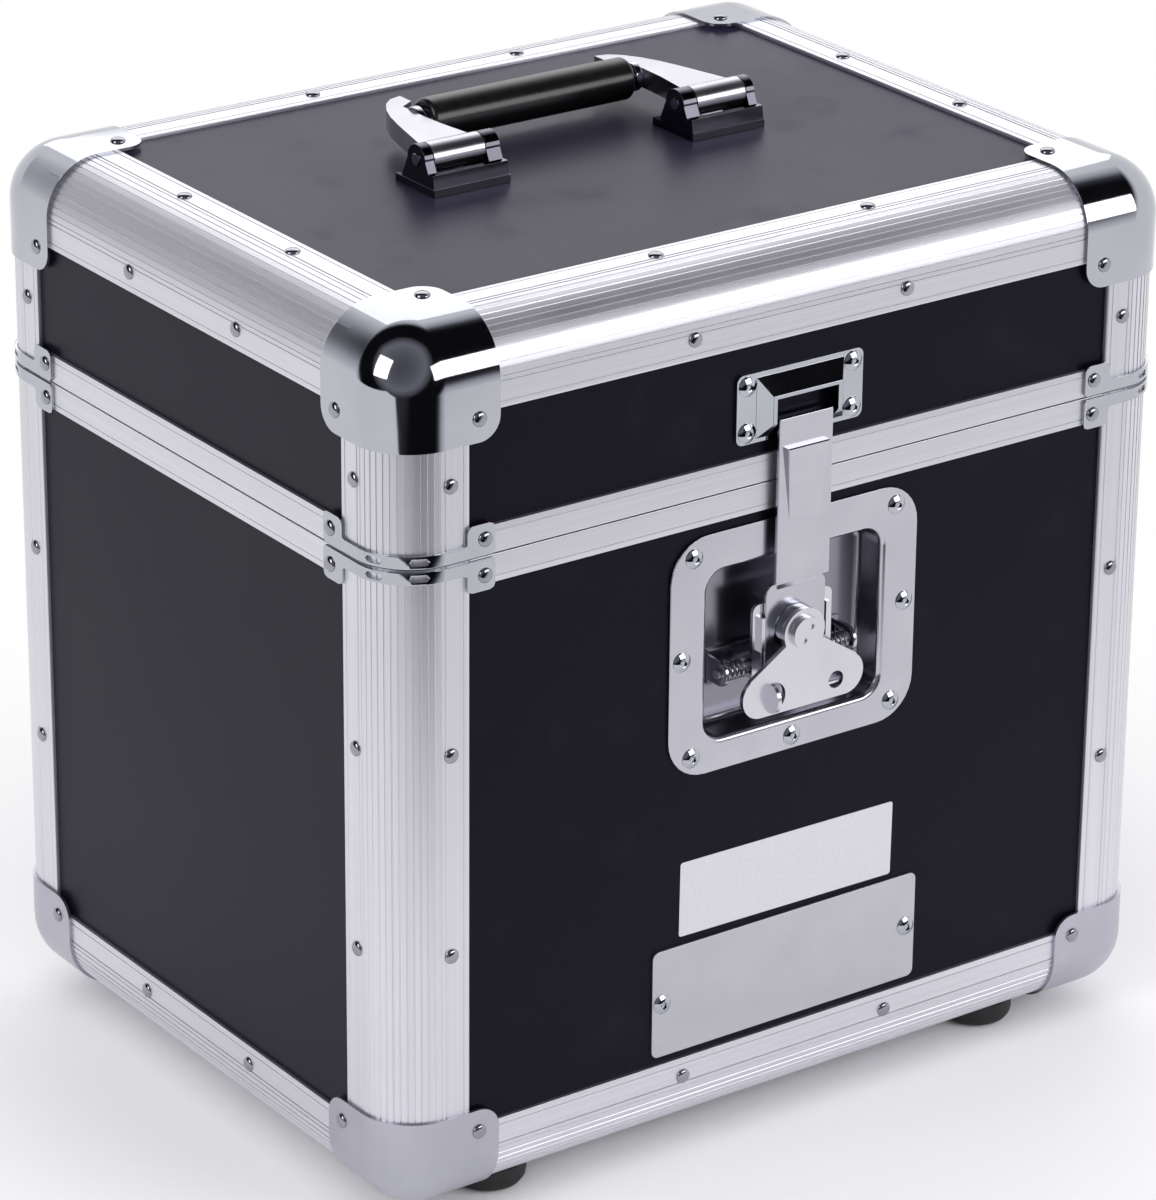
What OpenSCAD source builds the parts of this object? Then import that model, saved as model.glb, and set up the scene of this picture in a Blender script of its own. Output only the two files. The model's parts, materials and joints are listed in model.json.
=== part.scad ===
// Record carrying case: black laminated plywood panels in aluminium edge extrusions,
// with pressed ball corners, a recessed butterfly latch, rubber feet, and a folding
// handle on a lid that is hinged at the back.
// Millimetres, +Z up. The origin is on the ground under the middle of the case.
// The latch is on the -Y side and the hinges are on the +Y side.

/* [Case] */
// Width over the extrusions
case_w = 362; // [350:1:400]
// Depth over the extrusions
case_d = 280; // [260:1:340]
// Height over the extrusions, without the feet
case_h = 351; // [345:1:400]
// Height of the seam between base and lid, above the bottom face
seam_h = 263; // [262:1:266]
// Thickness of the plywood panels
panel_t = 6.9; // [6:0.1:6.9]
// Thickness of the foam pads in the base and the lid
foam_t = 5; // [3:0.5:8]

/* [Extrusions] */
// Width of each leg of an edge extrusion
edge_leg = 33; // [30:0.5:36]
// Outer radius of the rounded edges
edge_r = 22; // [20:0.5:24]
// Wall of the outer skin
skin_t = 1.6; // [1.2:0.1:2]
// Wall of the inner flanges
flange_t = 1.2; // [1:0.1:1.5]
// Height of the lips of the rims at the seam
rim_h = 11; // [9:0.5:12]
// Height of the tongue on the base rims
tongue_h = 2.4; // [1.5:0.1:2.6]

/* [Corners] */
// Sheet of the ball corners and the rim braces
ball_t = 1.2; // [0.8:0.1:1.4]
// Reach of a ball corner along the width
ball_reach_x = 45.5; // [42:0.5:48]
// Reach of a ball corner along the depth
ball_reach_y = 44; // [42:0.5:48]
// Reach of a top ball corner down the upright
ball_reach_top = 43.5; // [40:0.5:46]
// Reach of a bottom ball corner up the upright
ball_reach_bottom = 40; // [38:0.5:44]
// Corner radius of the tabs, centred on their rivets
tab_r = 9; // [7:0.5:10]

/* [Rivets] */
// Radius of the solid rivets' heads
rivet_r = 3; // [2.2:0.1:3]
// Height of the solid rivets' heads
rivet_h = 1.3; // [0.8:0.1:1.6]
// Distance of the rivet lines from the case's outer planes
rivet_in = 25; // [24:0.5:26]
// Distance of the rivets on the wide edges from the middle
rivet_x = 49; // [40:1:60]
// Distance of the rivets on the deep edges from the middle
rivet_y = 37.5; // [30:0.5:45]

/* [Feet] */
// Height of the rubber feet
foot_h = 10; // [8:0.5:14]
// Radius of the rubber feet
foot_r = 15; // [12:0.5:15]

/* [Latch] */
// Width of the dish's flange
dish_w = 116; // [110:1:124]
// Height of the dish's flange
dish_h = 97; // [92:1:100]
// Height of the dish's middle above the bottom face
dish_z = 199; // [198:0.5:200]
// Width of the dish's opening
mouth_w = 82; // [80:1:88]
// Height of the dish's opening
mouth_h = 68.4; // [66:0.2:69]
// Depth of the dish's floor behind the extrusions' face
dish_deep = 14; // [14:0.5:16]
// Height of the wing's spindle above the bottom face
spindle_z = 201; // [200.8:0.1:201.2]
// Throw of the eccentric that lifts the hook
cam_throw = 3; // [2.5:0.1:3]
// Width of the hook's strap
strap_w = 25; // [22:0.5:26]
// Width of the keeper's plate
keeper_w = 58.6; // [56:0.2:62]

/* [Handle] */
// Length of the grip
grip_l = 95; // [85:1:115]
// Radius of the grip
grip_r = 8.5; // [7:0.5:9]
// Distance from the pivot to the grip when it lies folded
grip_reach = 39.5; // [36:0.5:44]

/* [Hinges] */
// Distance of the hinges from the middle
hinge_x = 105; // [70:1:106]
// Length of a hinge
hinge_l = 50; // [40:1:60]
// Radius of a hinge knuckle
knuckle_r = 3.5; // [3:0.1:3.5]
// Radius of a hinge pin
hinge_pin_r = 1.6; // [1.2:0.1:1.8]

/* [Hidden] */
$fn = 64;
gap = 0.05; // assembly clearance of the panels in their slots, and of every pin in its bore
seam_gap = 0.4; // parting line between the two rims
slot_t = 7; // slot of the extrusions that holds a panel
panel_in = skin_t + (slot_t - panel_t) / 2; // outer face of a panel, behind the extrusions' face
panel_end = edge_r - 0.6; // edge of a panel, behind the face round the corner
inner_in = skin_t + slot_t + flange_t; // inner face of the flanges, behind the extrusions' face
web_in = edge_r - 2; // web that closes a slot behind the panel's edge
web_t = 1.2;
flange_leg = 27; // reach of the inner flanges
tongue_in = 3.6; // outer side of the rims' tongue, behind the extrusions' face
tongue_t = 2;
tongue_room = 0.8; // room round the tongue in the lid's groove
groove_top = tongue_h + 2.2; // top of the groove's roof above the seam
z_bottom = foot_h;
z_seam = foot_h + seam_h;
z_top = foot_h + case_h;
rivet_levels = [107, 188]; // rivets up the base's uprights, above the bottom face
lid_rivet_level = 293; // rivets on the lid's uprights
brace_level = 7; // rivets of the rim braces, from the seam
brace_in = 39; // and from the outer plane round the corner
brace_band = [0.6, 5.6]; // edges of the brace's band, from the seam
brace_tab = [31, 43.5]; // ends of the brace's tab, from the outer plane round the corner
brace_tab_h = 12.4;
blind_r = 4; // head of a blind rivet
blind_h = 1.5;
blind_hole_r = 1.25;
foot_x = case_w / 2 - ball_reach_x - foot_r - 0.5; // the feet clear the bottom ball corners
foot_y = case_d / 2 - 29;
foot_round = 6;

// Depths of the latch's layers, outward from the extrusions' face.
sheet_back = -panel_in + gap; // back of what lies flat on a panel
dish_face = [sheet_back, sheet_back + 1.2];
dish_wall = 1.2;
mouth_z = dish_z - 1.3; // middle of the dish's opening
mouth_r = 8;
yoke_u = [-1.5, 0];
strap_u = [2.4, 3.9];
carrier_u = [-3.3, -1.8];
boss_u = [-1.7, 0.2];
barrel_u = [0.15, 4.2];
wing_u = [4.2, 6.1];
head_u = [6.1, 8.3];
swing_u = -6; // swing pin
swing_z = 187;
swing_r = 2;
spindle_r = 2.5;
boss_r = 6.3;
barrel_r = 9.5;
yoke_w = 28;
yoke_z = [184, 224];
strap_z = [221.5, 288];
lip_u = 0.1; // inner end of the hook's lip
saddle_x = [29.5, 31.1];
ear_x = [16.9, 18.6];
guide_x = [14.4, 15.9];
spring_x = 20.2;
spring_r = 3.1;
wire_r = 0.6;
turns = 8;
turn_pitch = 1.15;
lobe = [20, 22]; // middle of a wing's lobe, beside and below the spindle
lobe_r = 8.5;
thumb = [15.5, 23.4]; // middle of the finger tab, beside and below the spindle
thumb_r = 6;
keeper_z = [279.5, 307];

plate_z = [36, 81]; // nameplate
plate_u = [sheet_back, sheet_back + 1];
plate_w = 127;
plate_r = 3;

// Handle, above the lid panel's face.
z_lid_face = z_top - panel_in;
pivot_y = -1;
pivot_h = 12;
pivot_r = 2.5;
barrel_arm_r = 6;
grip_h = 11.5;
grip_y = pivot_y + grip_reach;
grip_end = grip_l / 2;
core_end = grip_end + 5.1;
core_r = 4;
ring_r = 6; // rings at the ends of the core
arm_h = [8, 16];
arm_x = [grip_end + 2.5, grip_end + 25.5];
bracket_span = [grip_end - 4.7, grip_end + 30.1]; // ends of a bracket along x
bracket_w = bracket_span[1] - bracket_span[0];

knuckle_u = knuckle_r + 0.1; // hinge axis outward from the extrusions' face
knuckles = 5;
leaf_t = 1.5;
leaf_h = 34;

// ---- shared shapes ----

// Turns a shape made for the corner at low x and low y to the corner on sides sx, sy.
module at_corner(sx, sy) {
    translate([sx * case_w / 2, sy * case_d / 2, 0])
        mirror([sx > 0 ? 1 : 0, 0, 0])
            mirror([0, sy > 0 ? 1 : 0, 0])
                children();
}

module rounded_rect(w, h, r) {
    square([w - 2 * r, h], center = true);
    square([w, h - 2 * r], center = true);
    for (x = [-1, 1], y = [-1, 1])
        translate([x * (w / 2 - r), y * (h / 2 - r)])
            circle(r);
}

// Extrudes a drawing of (x, height above the bottom face) outward from the front, from u[0] to u[1].
module outward(u) {
    translate([0, -case_d / 2 - u[0], z_bottom])
        rotate([90, 0, 0])
            linear_extrude(u[1] - u[0])
                children();
}

// Extrudes a drawing of (outward, height above the bottom face) at the front along x.
module across(x) {
    translate([x[0], -case_d / 2, z_bottom])
        rotate([90, 0, 90])
            linear_extrude(x[1] - x[0])
                mirror([1, 0])
                    children();
}

// Puts a shape whose axis is Z on each of the four sides, at (offset along, height).
module on_front_back(x, z, proud) {
    for (sx = [-1, 1], sy = [-1, 1])
        translate([sx * x, sy * (case_d / 2 + proud), z])
            rotate([-sy * 90, 0, 0])
                children();
}

module on_sides(y, z, proud) {
    for (sx = [-1, 1], sy = [-1, 1])
        translate([sx * (case_w / 2 + proud), sy * y, z])
            rotate([0, sx * 90, 0])
                children();
}

module on_plane(x, y, z, up) {
    for (sx = [-1, 1], sy = [-1, 1])
        translate([sx * x, sy * y, z])
            rotate([up > 0 ? 0 : 180, 0, 0])
                children();
}

// ---- panels ----

module base_wall_x(sy) {
    z0 = z_bottom + panel_end;
    z1 = z_seam - seam_gap / 2 - skin_t - gap;
    y = case_d / 2 - panel_in - panel_t / 2;
    translate([0, sy * y, (z0 + z1) / 2])
        cube([case_w - 2 * panel_end, panel_t, z1 - z0], center = true);
}

module base_wall_y(sx) {
    z0 = z_bottom + panel_end;
    z1 = z_seam - seam_gap / 2 - skin_t - gap;
    x = case_w / 2 - panel_in - panel_t / 2;
    translate([sx * x, 0, (z0 + z1) / 2])
        cube([panel_t, case_d - 2 * panel_end, z1 - z0], center = true);
}

module lid_wall_x(sy) {
    z0 = z_seam + seam_gap / 2 + groove_top + gap;
    z1 = z_top - panel_end;
    y = case_d / 2 - panel_in - panel_t / 2;
    translate([0, sy * y, (z0 + z1) / 2])
        cube([case_w - 2 * panel_end, panel_t, z1 - z0], center = true);
}

module lid_wall_y(sx) {
    z0 = z_seam + seam_gap / 2 + groove_top + gap;
    z1 = z_top - panel_end;
    x = case_w / 2 - panel_in - panel_t / 2;
    translate([sx * x, 0, (z0 + z1) / 2])
        cube([panel_t, case_d - 2 * panel_end, z1 - z0], center = true);
}

module base_panel_front() {
    room = 0.6;
    color("#17131c")
        difference() {
            base_wall_x(-1);
            outward([-panel_in - panel_t - 1, 1])
                translate([0, mouth_z])
                    rounded_rect(mouth_w + 2 * dish_wall + room, mouth_h + 2 * dish_wall + room, mouth_r + dish_wall);
        }
}

module base_panel_back() {
    color("#17131c")
        base_wall_x(1);
}

module base_panel_left() {
    color("#17131c")
        base_wall_y(-1);
}

module base_panel_right() {
    color("#17131c")
        base_wall_y(1);
}

module base_panel_bottom() {
    color("#17131c")
        translate([0, 0, z_bottom + panel_in + panel_t / 2])
            cube([case_w - 2 * panel_end, case_d - 2 * panel_end, panel_t], center = true);
}

module lid_panel_front() {
    color("#17131c")
        lid_wall_x(-1);
}

module lid_panel_back() {
    color("#17131c")
        lid_wall_x(1);
}

module lid_panel_left() {
    color("#17131c")
        lid_wall_y(-1);
}

module lid_panel_right() {
    color("#17131c")
        lid_wall_y(1);
}

module lid_panel_top() {
    color("#17131c")
        translate([0, 0, z_top - panel_in - panel_t / 2])
            cube([case_w - 2 * panel_end, case_d - 2 * panel_end, panel_t], center = true);
}

// ---- edge extrusions ----

module corner_area(size, r) {
    translate([r, 0])
        square([size - r, size]);
    translate([0, r])
        square([size, size - r]);
    intersection() {
        translate([r, r])
            circle(r);
        square(r);
    }
}

// Section of an edge extrusion, its corner at the origin and its legs along +x and +y.
module edge_section() {
    flange_in = skin_t + slot_t;
    difference() {
        corner_area(edge_leg, edge_r);
        translate([skin_t, skin_t])
            corner_area(edge_leg, edge_r - skin_t);
    }
    difference() {
        translate([flange_in, flange_in])
            square(flange_leg - flange_in);
        translate([inner_in, inner_in])
            square(flange_leg);
    }
    for (turn = [0, 1])
        mirror([turn, -turn])
            translate([web_in, skin_t - 0.4])
                square([web_t, slot_t + 0.8]);
}

module upright(sx, sy, z0, z1) {
    color("#d5d4dc")
        at_corner(sx, sy)
            translate([0, 0, z0])
                linear_extrude(z1 - z0)
                    edge_section();
}

module base_upright(sx, sy) {
    upright(sx, sy, z_bottom + edge_leg, z_seam - seam_gap / 2);
}

module lid_upright(sx, sy) {
    upright(sx, sy, z_seam + seam_gap / 2, z_top - edge_leg);
}

module base_upright_front_left() base_upright(-1, -1);
module base_upright_front_right() base_upright(1, -1);
module base_upright_back_left() base_upright(-1, 1);
module base_upright_back_right() base_upright(1, 1);
module lid_upright_front_left() lid_upright(-1, -1);
module lid_upright_front_right() lid_upright(1, -1);
module lid_upright_back_left() lid_upright(-1, 1);
module lid_upright_back_right() lid_upright(1, 1);

// A level length of a section drawn as (inward, up), along the front or back.
module level_x(sy, z, flip) {
    color("#d5d4dc")
        translate([0, sy * case_d / 2, z])
            mirror([0, sy > 0 ? 1 : 0, 0])
                mirror([0, 0, flip])
                    rotate([90, 0, 90])
                        linear_extrude(case_w - 2 * edge_leg - 2 * gap, center = true)
                            children();
}

// The same along the left or right side.
module level_y(sx, z, flip) {
    color("#d5d4dc")
        translate([sx * case_w / 2, 0, z])
            mirror([sx > 0 ? 1 : 0, 0, 0])
                mirror([0, 0, flip])
                    rotate([90, 0, 0])
                        linear_extrude(case_d - 2 * edge_leg - 2 * gap, center = true)
                            children();
}

module bottom_edge_front() level_x(-1, z_bottom, 0) edge_section();
module bottom_edge_back() level_x(1, z_bottom, 0) edge_section();
module top_edge_front() level_x(-1, z_top, 1) edge_section();
module top_edge_back() level_x(1, z_top, 1) edge_section();

module bottom_edges_side() {
    for (sx = [-1, 1])
        level_y(sx, z_bottom, 0)
            edge_section();
}

module top_edges_side() {
    for (sx = [-1, 1])
        level_y(sx, z_top, 1)
            edge_section();
}

// Section of a base rim, its top at the seam and its tongue above it.
module base_rim_section() {
    top = -seam_gap / 2;
    translate([0, top - rim_h])
        square([skin_t, rim_h]);
    translate([0, top - skin_t])
        square([inner_in, skin_t]);
    translate([skin_t + slot_t, top - rim_h])
        square([flange_t, rim_h]);
    translate([tongue_in, top - 0.2])
        square([tongue_t, tongue_h + 0.2]);
}

// Section of a lid rim, with a groove that clears the tongue.
module lid_rim_section() {
    low = seam_gap / 2;
    groove_in = tongue_in - tongue_room;
    groove_out = tongue_in + tongue_t + tongue_room;
    difference() {
        union() {
            translate([0, low])
                square([skin_t, rim_h]);
            translate([0, low])
                square([inner_in, skin_t]);
            translate([skin_t + slot_t, low])
                square([flange_t, rim_h]);
            translate([groove_in - flange_t, low])
                square([groove_out - groove_in + 2 * flange_t, groove_top]);
        }
        translate([groove_in, low - 1])
            square([groove_out - groove_in, groove_top - flange_t + 1]);
    }
}

module base_rim_front() level_x(-1, z_seam, 0) base_rim_section();
module base_rim_back() level_x(1, z_seam, 0) base_rim_section();
module lid_rim_front() level_x(-1, z_seam, 0) lid_rim_section();
module lid_rim_back() level_x(1, z_seam, 0) lid_rim_section();

module base_rims_side() {
    for (sx = [-1, 1])
        level_y(sx, z_seam, 0)
            base_rim_section();
}

module lid_rims_side() {
    for (sx = [-1, 1])
        level_y(sx, z_seam, 0)
            lid_rim_section();
}

// ---- ball corners and rim braces ----

module quarter_ring() {
    intersection() {
        difference() {
            circle(edge_r + ball_t);
            circle(edge_r);
        }
        translate([-edge_r - ball_t, -edge_r - ball_t])
            square(edge_r + ball_t);
    }
}

module tab_area(a, b) {
    translate([edge_r, edge_r])
        square([a - edge_r, b - edge_r - tab_r]);
    translate([edge_r, edge_r])
        square([a - edge_r - tab_r, b - edge_r]);
    translate([a - tab_r, b - tab_r])
        circle(tab_r);
}

// A pressed corner whose reaches along x, y and z are given, for the corner at low x, y and z.
module ball_corner(reach) {
    translate([edge_r, edge_r, edge_r])
        rotate([0, 0, 180])
            rotate_extrude(angle = 90)
                mirror([1, 0])
                    quarter_ring();
    translate([edge_r, edge_r, edge_r])
        linear_extrude(reach[2] - edge_r)
            quarter_ring();
    translate([edge_r, edge_r, edge_r])
        rotate([90, 0, 90])
            linear_extrude(reach[0] - edge_r)
                quarter_ring();
    translate([edge_r, reach[1], edge_r])
        rotate([90, 0, 0])
            linear_extrude(reach[1] - edge_r)
                quarter_ring();
    rotate([90, 0, 0])
        linear_extrude(ball_t)
            tab_area(reach[0], reach[2]);
    translate([-ball_t, 0, 0])
        rotate([90, 0, 90])
            linear_extrude(ball_t)
                tab_area(reach[1], reach[2]);
    translate([0, 0, -ball_t])
        linear_extrude(ball_t)
            tab_area(reach[0], reach[1]);
}

module ball_corners_bottom() {
    color("#b9b7c4")
        for (sx = [-1, 1], sy = [-1, 1])
            at_corner(sx, sy)
                translate([0, 0, z_bottom])
                    ball_corner([ball_reach_x, ball_reach_y, ball_reach_bottom]);
}

module ball_corners_top() {
    color("#c3c6cf")
        for (sx = [-1, 1], sy = [-1, 1])
            at_corner(sx, sy)
                translate([0, 0, z_top])
                    mirror([0, 0, 1])
                        ball_corner([ball_reach_x, ball_reach_y, ball_reach_top]);
}

// Straight part of a brace with its tab, drawn as (distance from the corner, height from the seam).
module brace_area() {
    r = 2.5;
    low = brace_band[0];
    tab_l = brace_tab[1] - brace_tab[0];
    translate([edge_r, low])
        square([brace_tab[0] + r - edge_r, brace_band[1] - low]);
    translate([(brace_tab[0] + brace_tab[1]) / 2, low + brace_tab_h / 2])
        rounded_rect(tab_l, brace_tab_h, r);
}

module rim_brace() {
    translate([edge_r, edge_r, brace_band[0]])
        linear_extrude(brace_band[1] - brace_band[0])
            quarter_ring();
    rotate([90, 0, 0])
        linear_extrude(ball_t)
            brace_area();
    translate([-ball_t, 0, 0])
        rotate([90, 0, 90])
            linear_extrude(ball_t)
                brace_area();
}

module rim_braces(flip) {
    color("#c3c6cf")
        for (sx = [-1, 1], sy = [-1, 1])
            at_corner(sx, sy)
                translate([0, 0, z_seam])
                    mirror([0, 0, flip])
                        rim_brace();
}

module rim_braces_base() rim_braces(1);
module rim_braces_lid() rim_braces(0);

// ---- rivets ----

module dome(r, h) {
    ball = (r * r + h * h) / (2 * h);
    rotate_extrude()
        intersection() {
            translate([0, h - ball])
                circle(ball);
            square([r, h]);
        }
}

module blind_rivet() {
    difference() {
        dome(blind_r, blind_h);
        translate([0, 0, 0.3])
            cylinder(r = blind_hole_r, h = blind_h, $fn = 24);
    }
}

module rivets_base() {
    color("#8f8e98") {
        for (z = rivet_levels) {
            on_front_back(case_w / 2 - rivet_in, z_bottom + z, 0)
                dome(rivet_r, rivet_h);
            on_sides(case_d / 2 - rivet_in, z_bottom + z, 0)
                dome(rivet_r, rivet_h);
        }
        on_front_back(rivet_x, z_bottom + rivet_in, 0)
            dome(rivet_r, rivet_h);
        on_sides(rivet_y, z_bottom + rivet_in, 0)
            dome(rivet_r, rivet_h);
        on_plane(rivet_x, case_d / 2 - rivet_in, z_bottom, -1)
            dome(rivet_r, rivet_h);
        on_plane(case_w / 2 - rivet_in, rivet_y, z_bottom, -1)
            dome(rivet_r, rivet_h);
        on_front_back(case_w / 2 - ball_reach_x + tab_r, z_bottom + ball_reach_bottom - tab_r, ball_t)
            dome(rivet_r, rivet_h);
        on_sides(case_d / 2 - ball_reach_y + tab_r, z_bottom + ball_reach_bottom - tab_r, ball_t)
            dome(rivet_r, rivet_h);
        on_plane(case_w / 2 - ball_reach_x + tab_r, case_d / 2 - ball_reach_y + tab_r, z_bottom - ball_t, -1)
            dome(rivet_r, rivet_h);
        on_front_back(case_w / 2 - brace_in, z_seam - brace_level, ball_t)
            dome(rivet_r, rivet_h);
        on_sides(case_d / 2 - brace_in, z_seam - brace_level, ball_t)
            dome(rivet_r, rivet_h);
    }
}

module rivets_lid() {
    color("#8f8e98") {
        on_front_back(case_w / 2 - rivet_in, z_bottom + lid_rivet_level, 0)
            dome(rivet_r, rivet_h);
        on_sides(case_d / 2 - rivet_in, z_bottom + lid_rivet_level, 0)
            dome(rivet_r, rivet_h);
        on_front_back(rivet_x, z_top - rivet_in, 0)
            dome(rivet_r, rivet_h);
        on_sides(rivet_y, z_top - rivet_in, 0)
            dome(rivet_r, rivet_h);
        on_plane(rivet_x, case_d / 2 - rivet_in, z_top, 1)
            dome(rivet_r, rivet_h);
        on_plane(case_w / 2 - rivet_in, rivet_y, z_top, 1)
            dome(rivet_r, rivet_h);
        on_front_back(case_w / 2 - ball_reach_x + tab_r, z_top - ball_reach_top + tab_r, ball_t)
            dome(rivet_r, rivet_h);
        on_sides(case_d / 2 - ball_reach_y + tab_r, z_top - ball_reach_top + tab_r, ball_t)
            dome(rivet_r, rivet_h);
        on_plane(case_w / 2 - ball_reach_x + tab_r, case_d / 2 - ball_reach_y + tab_r, z_top + ball_t, 1)
            dome(rivet_r, rivet_h);
        on_front_back(case_w / 2 - brace_in, z_seam + brace_level, ball_t)
            dome(rivet_r, rivet_h);
        on_sides(case_d / 2 - brace_in, z_seam + brace_level, ball_t)
            dome(rivet_r, rivet_h);
    }
}

// A blind rivet on the front at x, height above the bottom face and outward depth.
module blind_at_front(x, z, u) {
    translate([x, -case_d / 2 - u, z_bottom + z])
        rotate([90, 0, 0])
            blind_rivet();
}

module blind_rivets_base() {
    row = dish_h / 2 - 8;
    color("#8f8e98") {
        for (sx = [-1, 1]) {
            blind_at_front(sx * (dish_w / 2 - 10.5), dish_z + row, dish_face[1]);
            blind_at_front(sx * (dish_w / 2 - 5.5), dish_z, dish_face[1]);
            blind_at_front(sx * (dish_w / 2 - 10.5), dish_z - row, dish_face[1]);
            blind_at_front(sx * (plate_w / 2 - 4.5), (plate_z[0] + plate_z[1]) / 2, plate_u[1]);
        }
        blind_at_front(0, dish_z - dish_h / 2 + 5.5, dish_face[1]);
        hinge_blinds(-1);
    }
}

module blind_rivets_lid() {
    color("#8f8e98") {
        for (sx = [-1, 1], z = [keeper_z[0] + 4.6, keeper_z[1] - 4.6])
            blind_at_front(sx * (keeper_w / 2 - 4.8), z, dish_face[1]);
        hinge_blinds(1);
    }
}

// ---- hinges ----

// Rivets of the hinge leaves on the side s of the seam.
module hinge_blinds(s) {
    for (sx = [-1, 1], x = [-1, 1])
        translate([sx * hinge_x + x * hinge_l * 0.32, case_d / 2 - skin_t + leaf_t, z_seam + s * 24])
            rotate([-90, 0, 0])
                blind_rivet();
}

// Section of a leaf below the seam: flat on the rim, then set back on to the panel.
module leaf_section() {
    back = -skin_t;
    step = rim_h + 0.6;
    polygon([
        [gap, -knuckle_r - 1.1], [leaf_t, -knuckle_r - 1.1], [leaf_t, -step - 1], [back + leaf_t, -step - 2.6],
        [back + leaf_t, -leaf_h], [back, -leaf_h], [back, -step], [gap, -step]
    ]);
}

module knuckle_section() {
    difference() {
        union() {
            translate([knuckle_u, 0])
                circle(knuckle_r);
            translate([gap, -knuckle_r - 1.2])
                square([leaf_t - gap, knuckle_r + 0.9]);
        }
        translate([knuckle_u, 0])
            circle(hinge_pin_r + gap);
    }
}

// Extrudes a drawing of (outward, height from the seam) at the back along x.
module back_across(x0, x1, flip) {
    translate([x0, case_d / 2, z_seam])
        mirror([0, 0, flip])
            rotate([90, 0, 90])
                linear_extrude(x1 - x0)
                    children();
}

module hinge_leaves(flip) {
    seg = hinge_l / knuckles;
    color("#c3c6cf")
        for (sx = [-1, 1]) {
            x0 = sx * hinge_x - hinge_l / 2;
            back_across(x0, x0 + hinge_l, flip)
                leaf_section();
            for (i = [flip:2:knuckles - 1])
                back_across(x0 + i * seg + 0.15, x0 + (i + 1) * seg - 0.15, flip)
                    knuckle_section();
        }
}

module hinge_leaves_base() hinge_leaves(0);
module hinge_leaves_lid() hinge_leaves(1);

module hinge_pins() {
    color("#8f8e98")
        for (sx = [-1, 1])
            translate([sx * hinge_x, case_d / 2 + knuckle_u, z_seam])
                rotate([0, 90, 0])
                    cylinder(r = hinge_pin_r, h = hinge_l + 1.6, center = true);
}

// ---- feet, foam, nameplate ----

module feet() {
    color("#141416")
        for (sx = [-1, 1], sy = [-1, 1])
            translate([sx * foot_x, sy * foot_y, 0])
                rotate_extrude() {
                    square([foot_r - foot_round, foot_h]);
                    translate([0, foot_round])
                        square([foot_r, foot_h - foot_round]);
                    intersection() {
                        translate([foot_r - foot_round, foot_round])
                            circle(foot_round);
                        square([foot_r, foot_round]);
                    }
                }
}

module foam_pad(z) {
    color("#2b2b30")
        translate([0, 0, z + foam_t / 2])
            cube([case_w - 2 * inner_in - 2, case_d - 2 * inner_in - 2, foam_t], center = true);
}

module base_foam() foam_pad(z_bottom + inner_in + gap);
module lid_foam() foam_pad(z_top - inner_in - gap - foam_t);

module nameplate() {
    color("#dedde4")
        outward(plate_u)
            translate([0, (plate_z[0] + plate_z[1]) / 2])
                rounded_rect(plate_w, plate_z[1] - plate_z[0], plate_r);
}

// ---- latch ----

module mouth_area(grow) {
    translate([0, mouth_z])
        rounded_rect(mouth_w + 2 * grow, mouth_h + 2 * grow, mouth_r + grow);
}

module latch_dish() {
    flange_r = 17;
    floor_u = -dish_deep - dish_wall;
    color("#cfced6") {
        outward(dish_face)
            difference() {
                translate([0, dish_z])
                    rounded_rect(dish_w, dish_h, flange_r);
                mouth_area(0);
            }
        outward([floor_u, dish_face[1]])
            difference() {
                mouth_area(dish_wall);
                mouth_area(0);
            }
        outward([floor_u, -dish_deep])
            mouth_area(dish_wall);
    }
}

module latch_saddle() {
    base_u = [-dish_deep, -dish_deep + 1.2];
    color("#b5b5bd") {
        outward(base_u)
            translate([0, swing_z])
                square([2 * saddle_x[1], 14], center = true);
        for (side = [0, 1])
            mirror([side, 0, 0])
                across(saddle_x)
                    difference() {
                        union() {
                            translate([swing_u, swing_z])
                                circle(5);
                            translate([-dish_deep, swing_z - 5])
                                square([dish_deep + swing_u, 10]);
                        }
                        translate([swing_u, swing_z])
                            circle(swing_r + gap);
                    }
    }
}

module latch_swing_pin() {
    color("#8f8e98")
        translate([0, -case_d / 2 - swing_u, z_bottom + swing_z])
            rotate([0, 90, 0])
                cylinder(r = swing_r, h = 2 * saddle_x[1] + 2.6, center = true);
}

module latch_springs() {
    color("#9a99a2")
        for (side = [0, 1])
            mirror([side, 0, 0])
                translate([spring_x, -case_d / 2 - swing_u, z_bottom + swing_z]) {
                    rotate([0, 90, 0])
                        rotate_extrude()
                            for (i = [0:turns - 1])
                                translate([spring_r, i * turn_pitch])
                                    circle(wire_r, $fn = 16);
                    translate([(turns - 1) * turn_pitch, spring_r, 0])
                        rotate([-90, 0, 0])
                            cylinder(r = wire_r, h = dish_deep - 1.2 + swing_u - spring_r, $fn = 16);
                }
}

module latch_carrier() {
    plate_z0 = 183;
    plate_z1 = 213;
    color("#c9c9d1")
        difference() {
            union() {
                outward(carrier_u)
                    translate([0, (plate_z0 + plate_z1) / 2])
                        rounded_rect(2 * ear_x[1], plate_z1 - plate_z0, 3);
                for (side = [0, 1])
                    mirror([side, 0, 0]) {
                        across(ear_x)
                            difference() {
                                union() {
                                    translate([swing_u, swing_z])
                                        circle(4);
                                    translate([swing_u, swing_z - 4])
                                        square([carrier_u[1] - swing_u - 0.2, 8]);
                                }
                                translate([swing_u, swing_z])
                                    circle(swing_r + gap);
                            }
                        across(guide_x)
                            translate([carrier_u[0] + 0.5, 194])
                                square([0.4 - carrier_u[0] - 0.5, 14]);
                    }
            }
            outward([carrier_u[0] - 1, carrier_u[1] + 1])
                translate([0, spindle_z])
                    circle(spindle_r + gap);
        }
}

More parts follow.
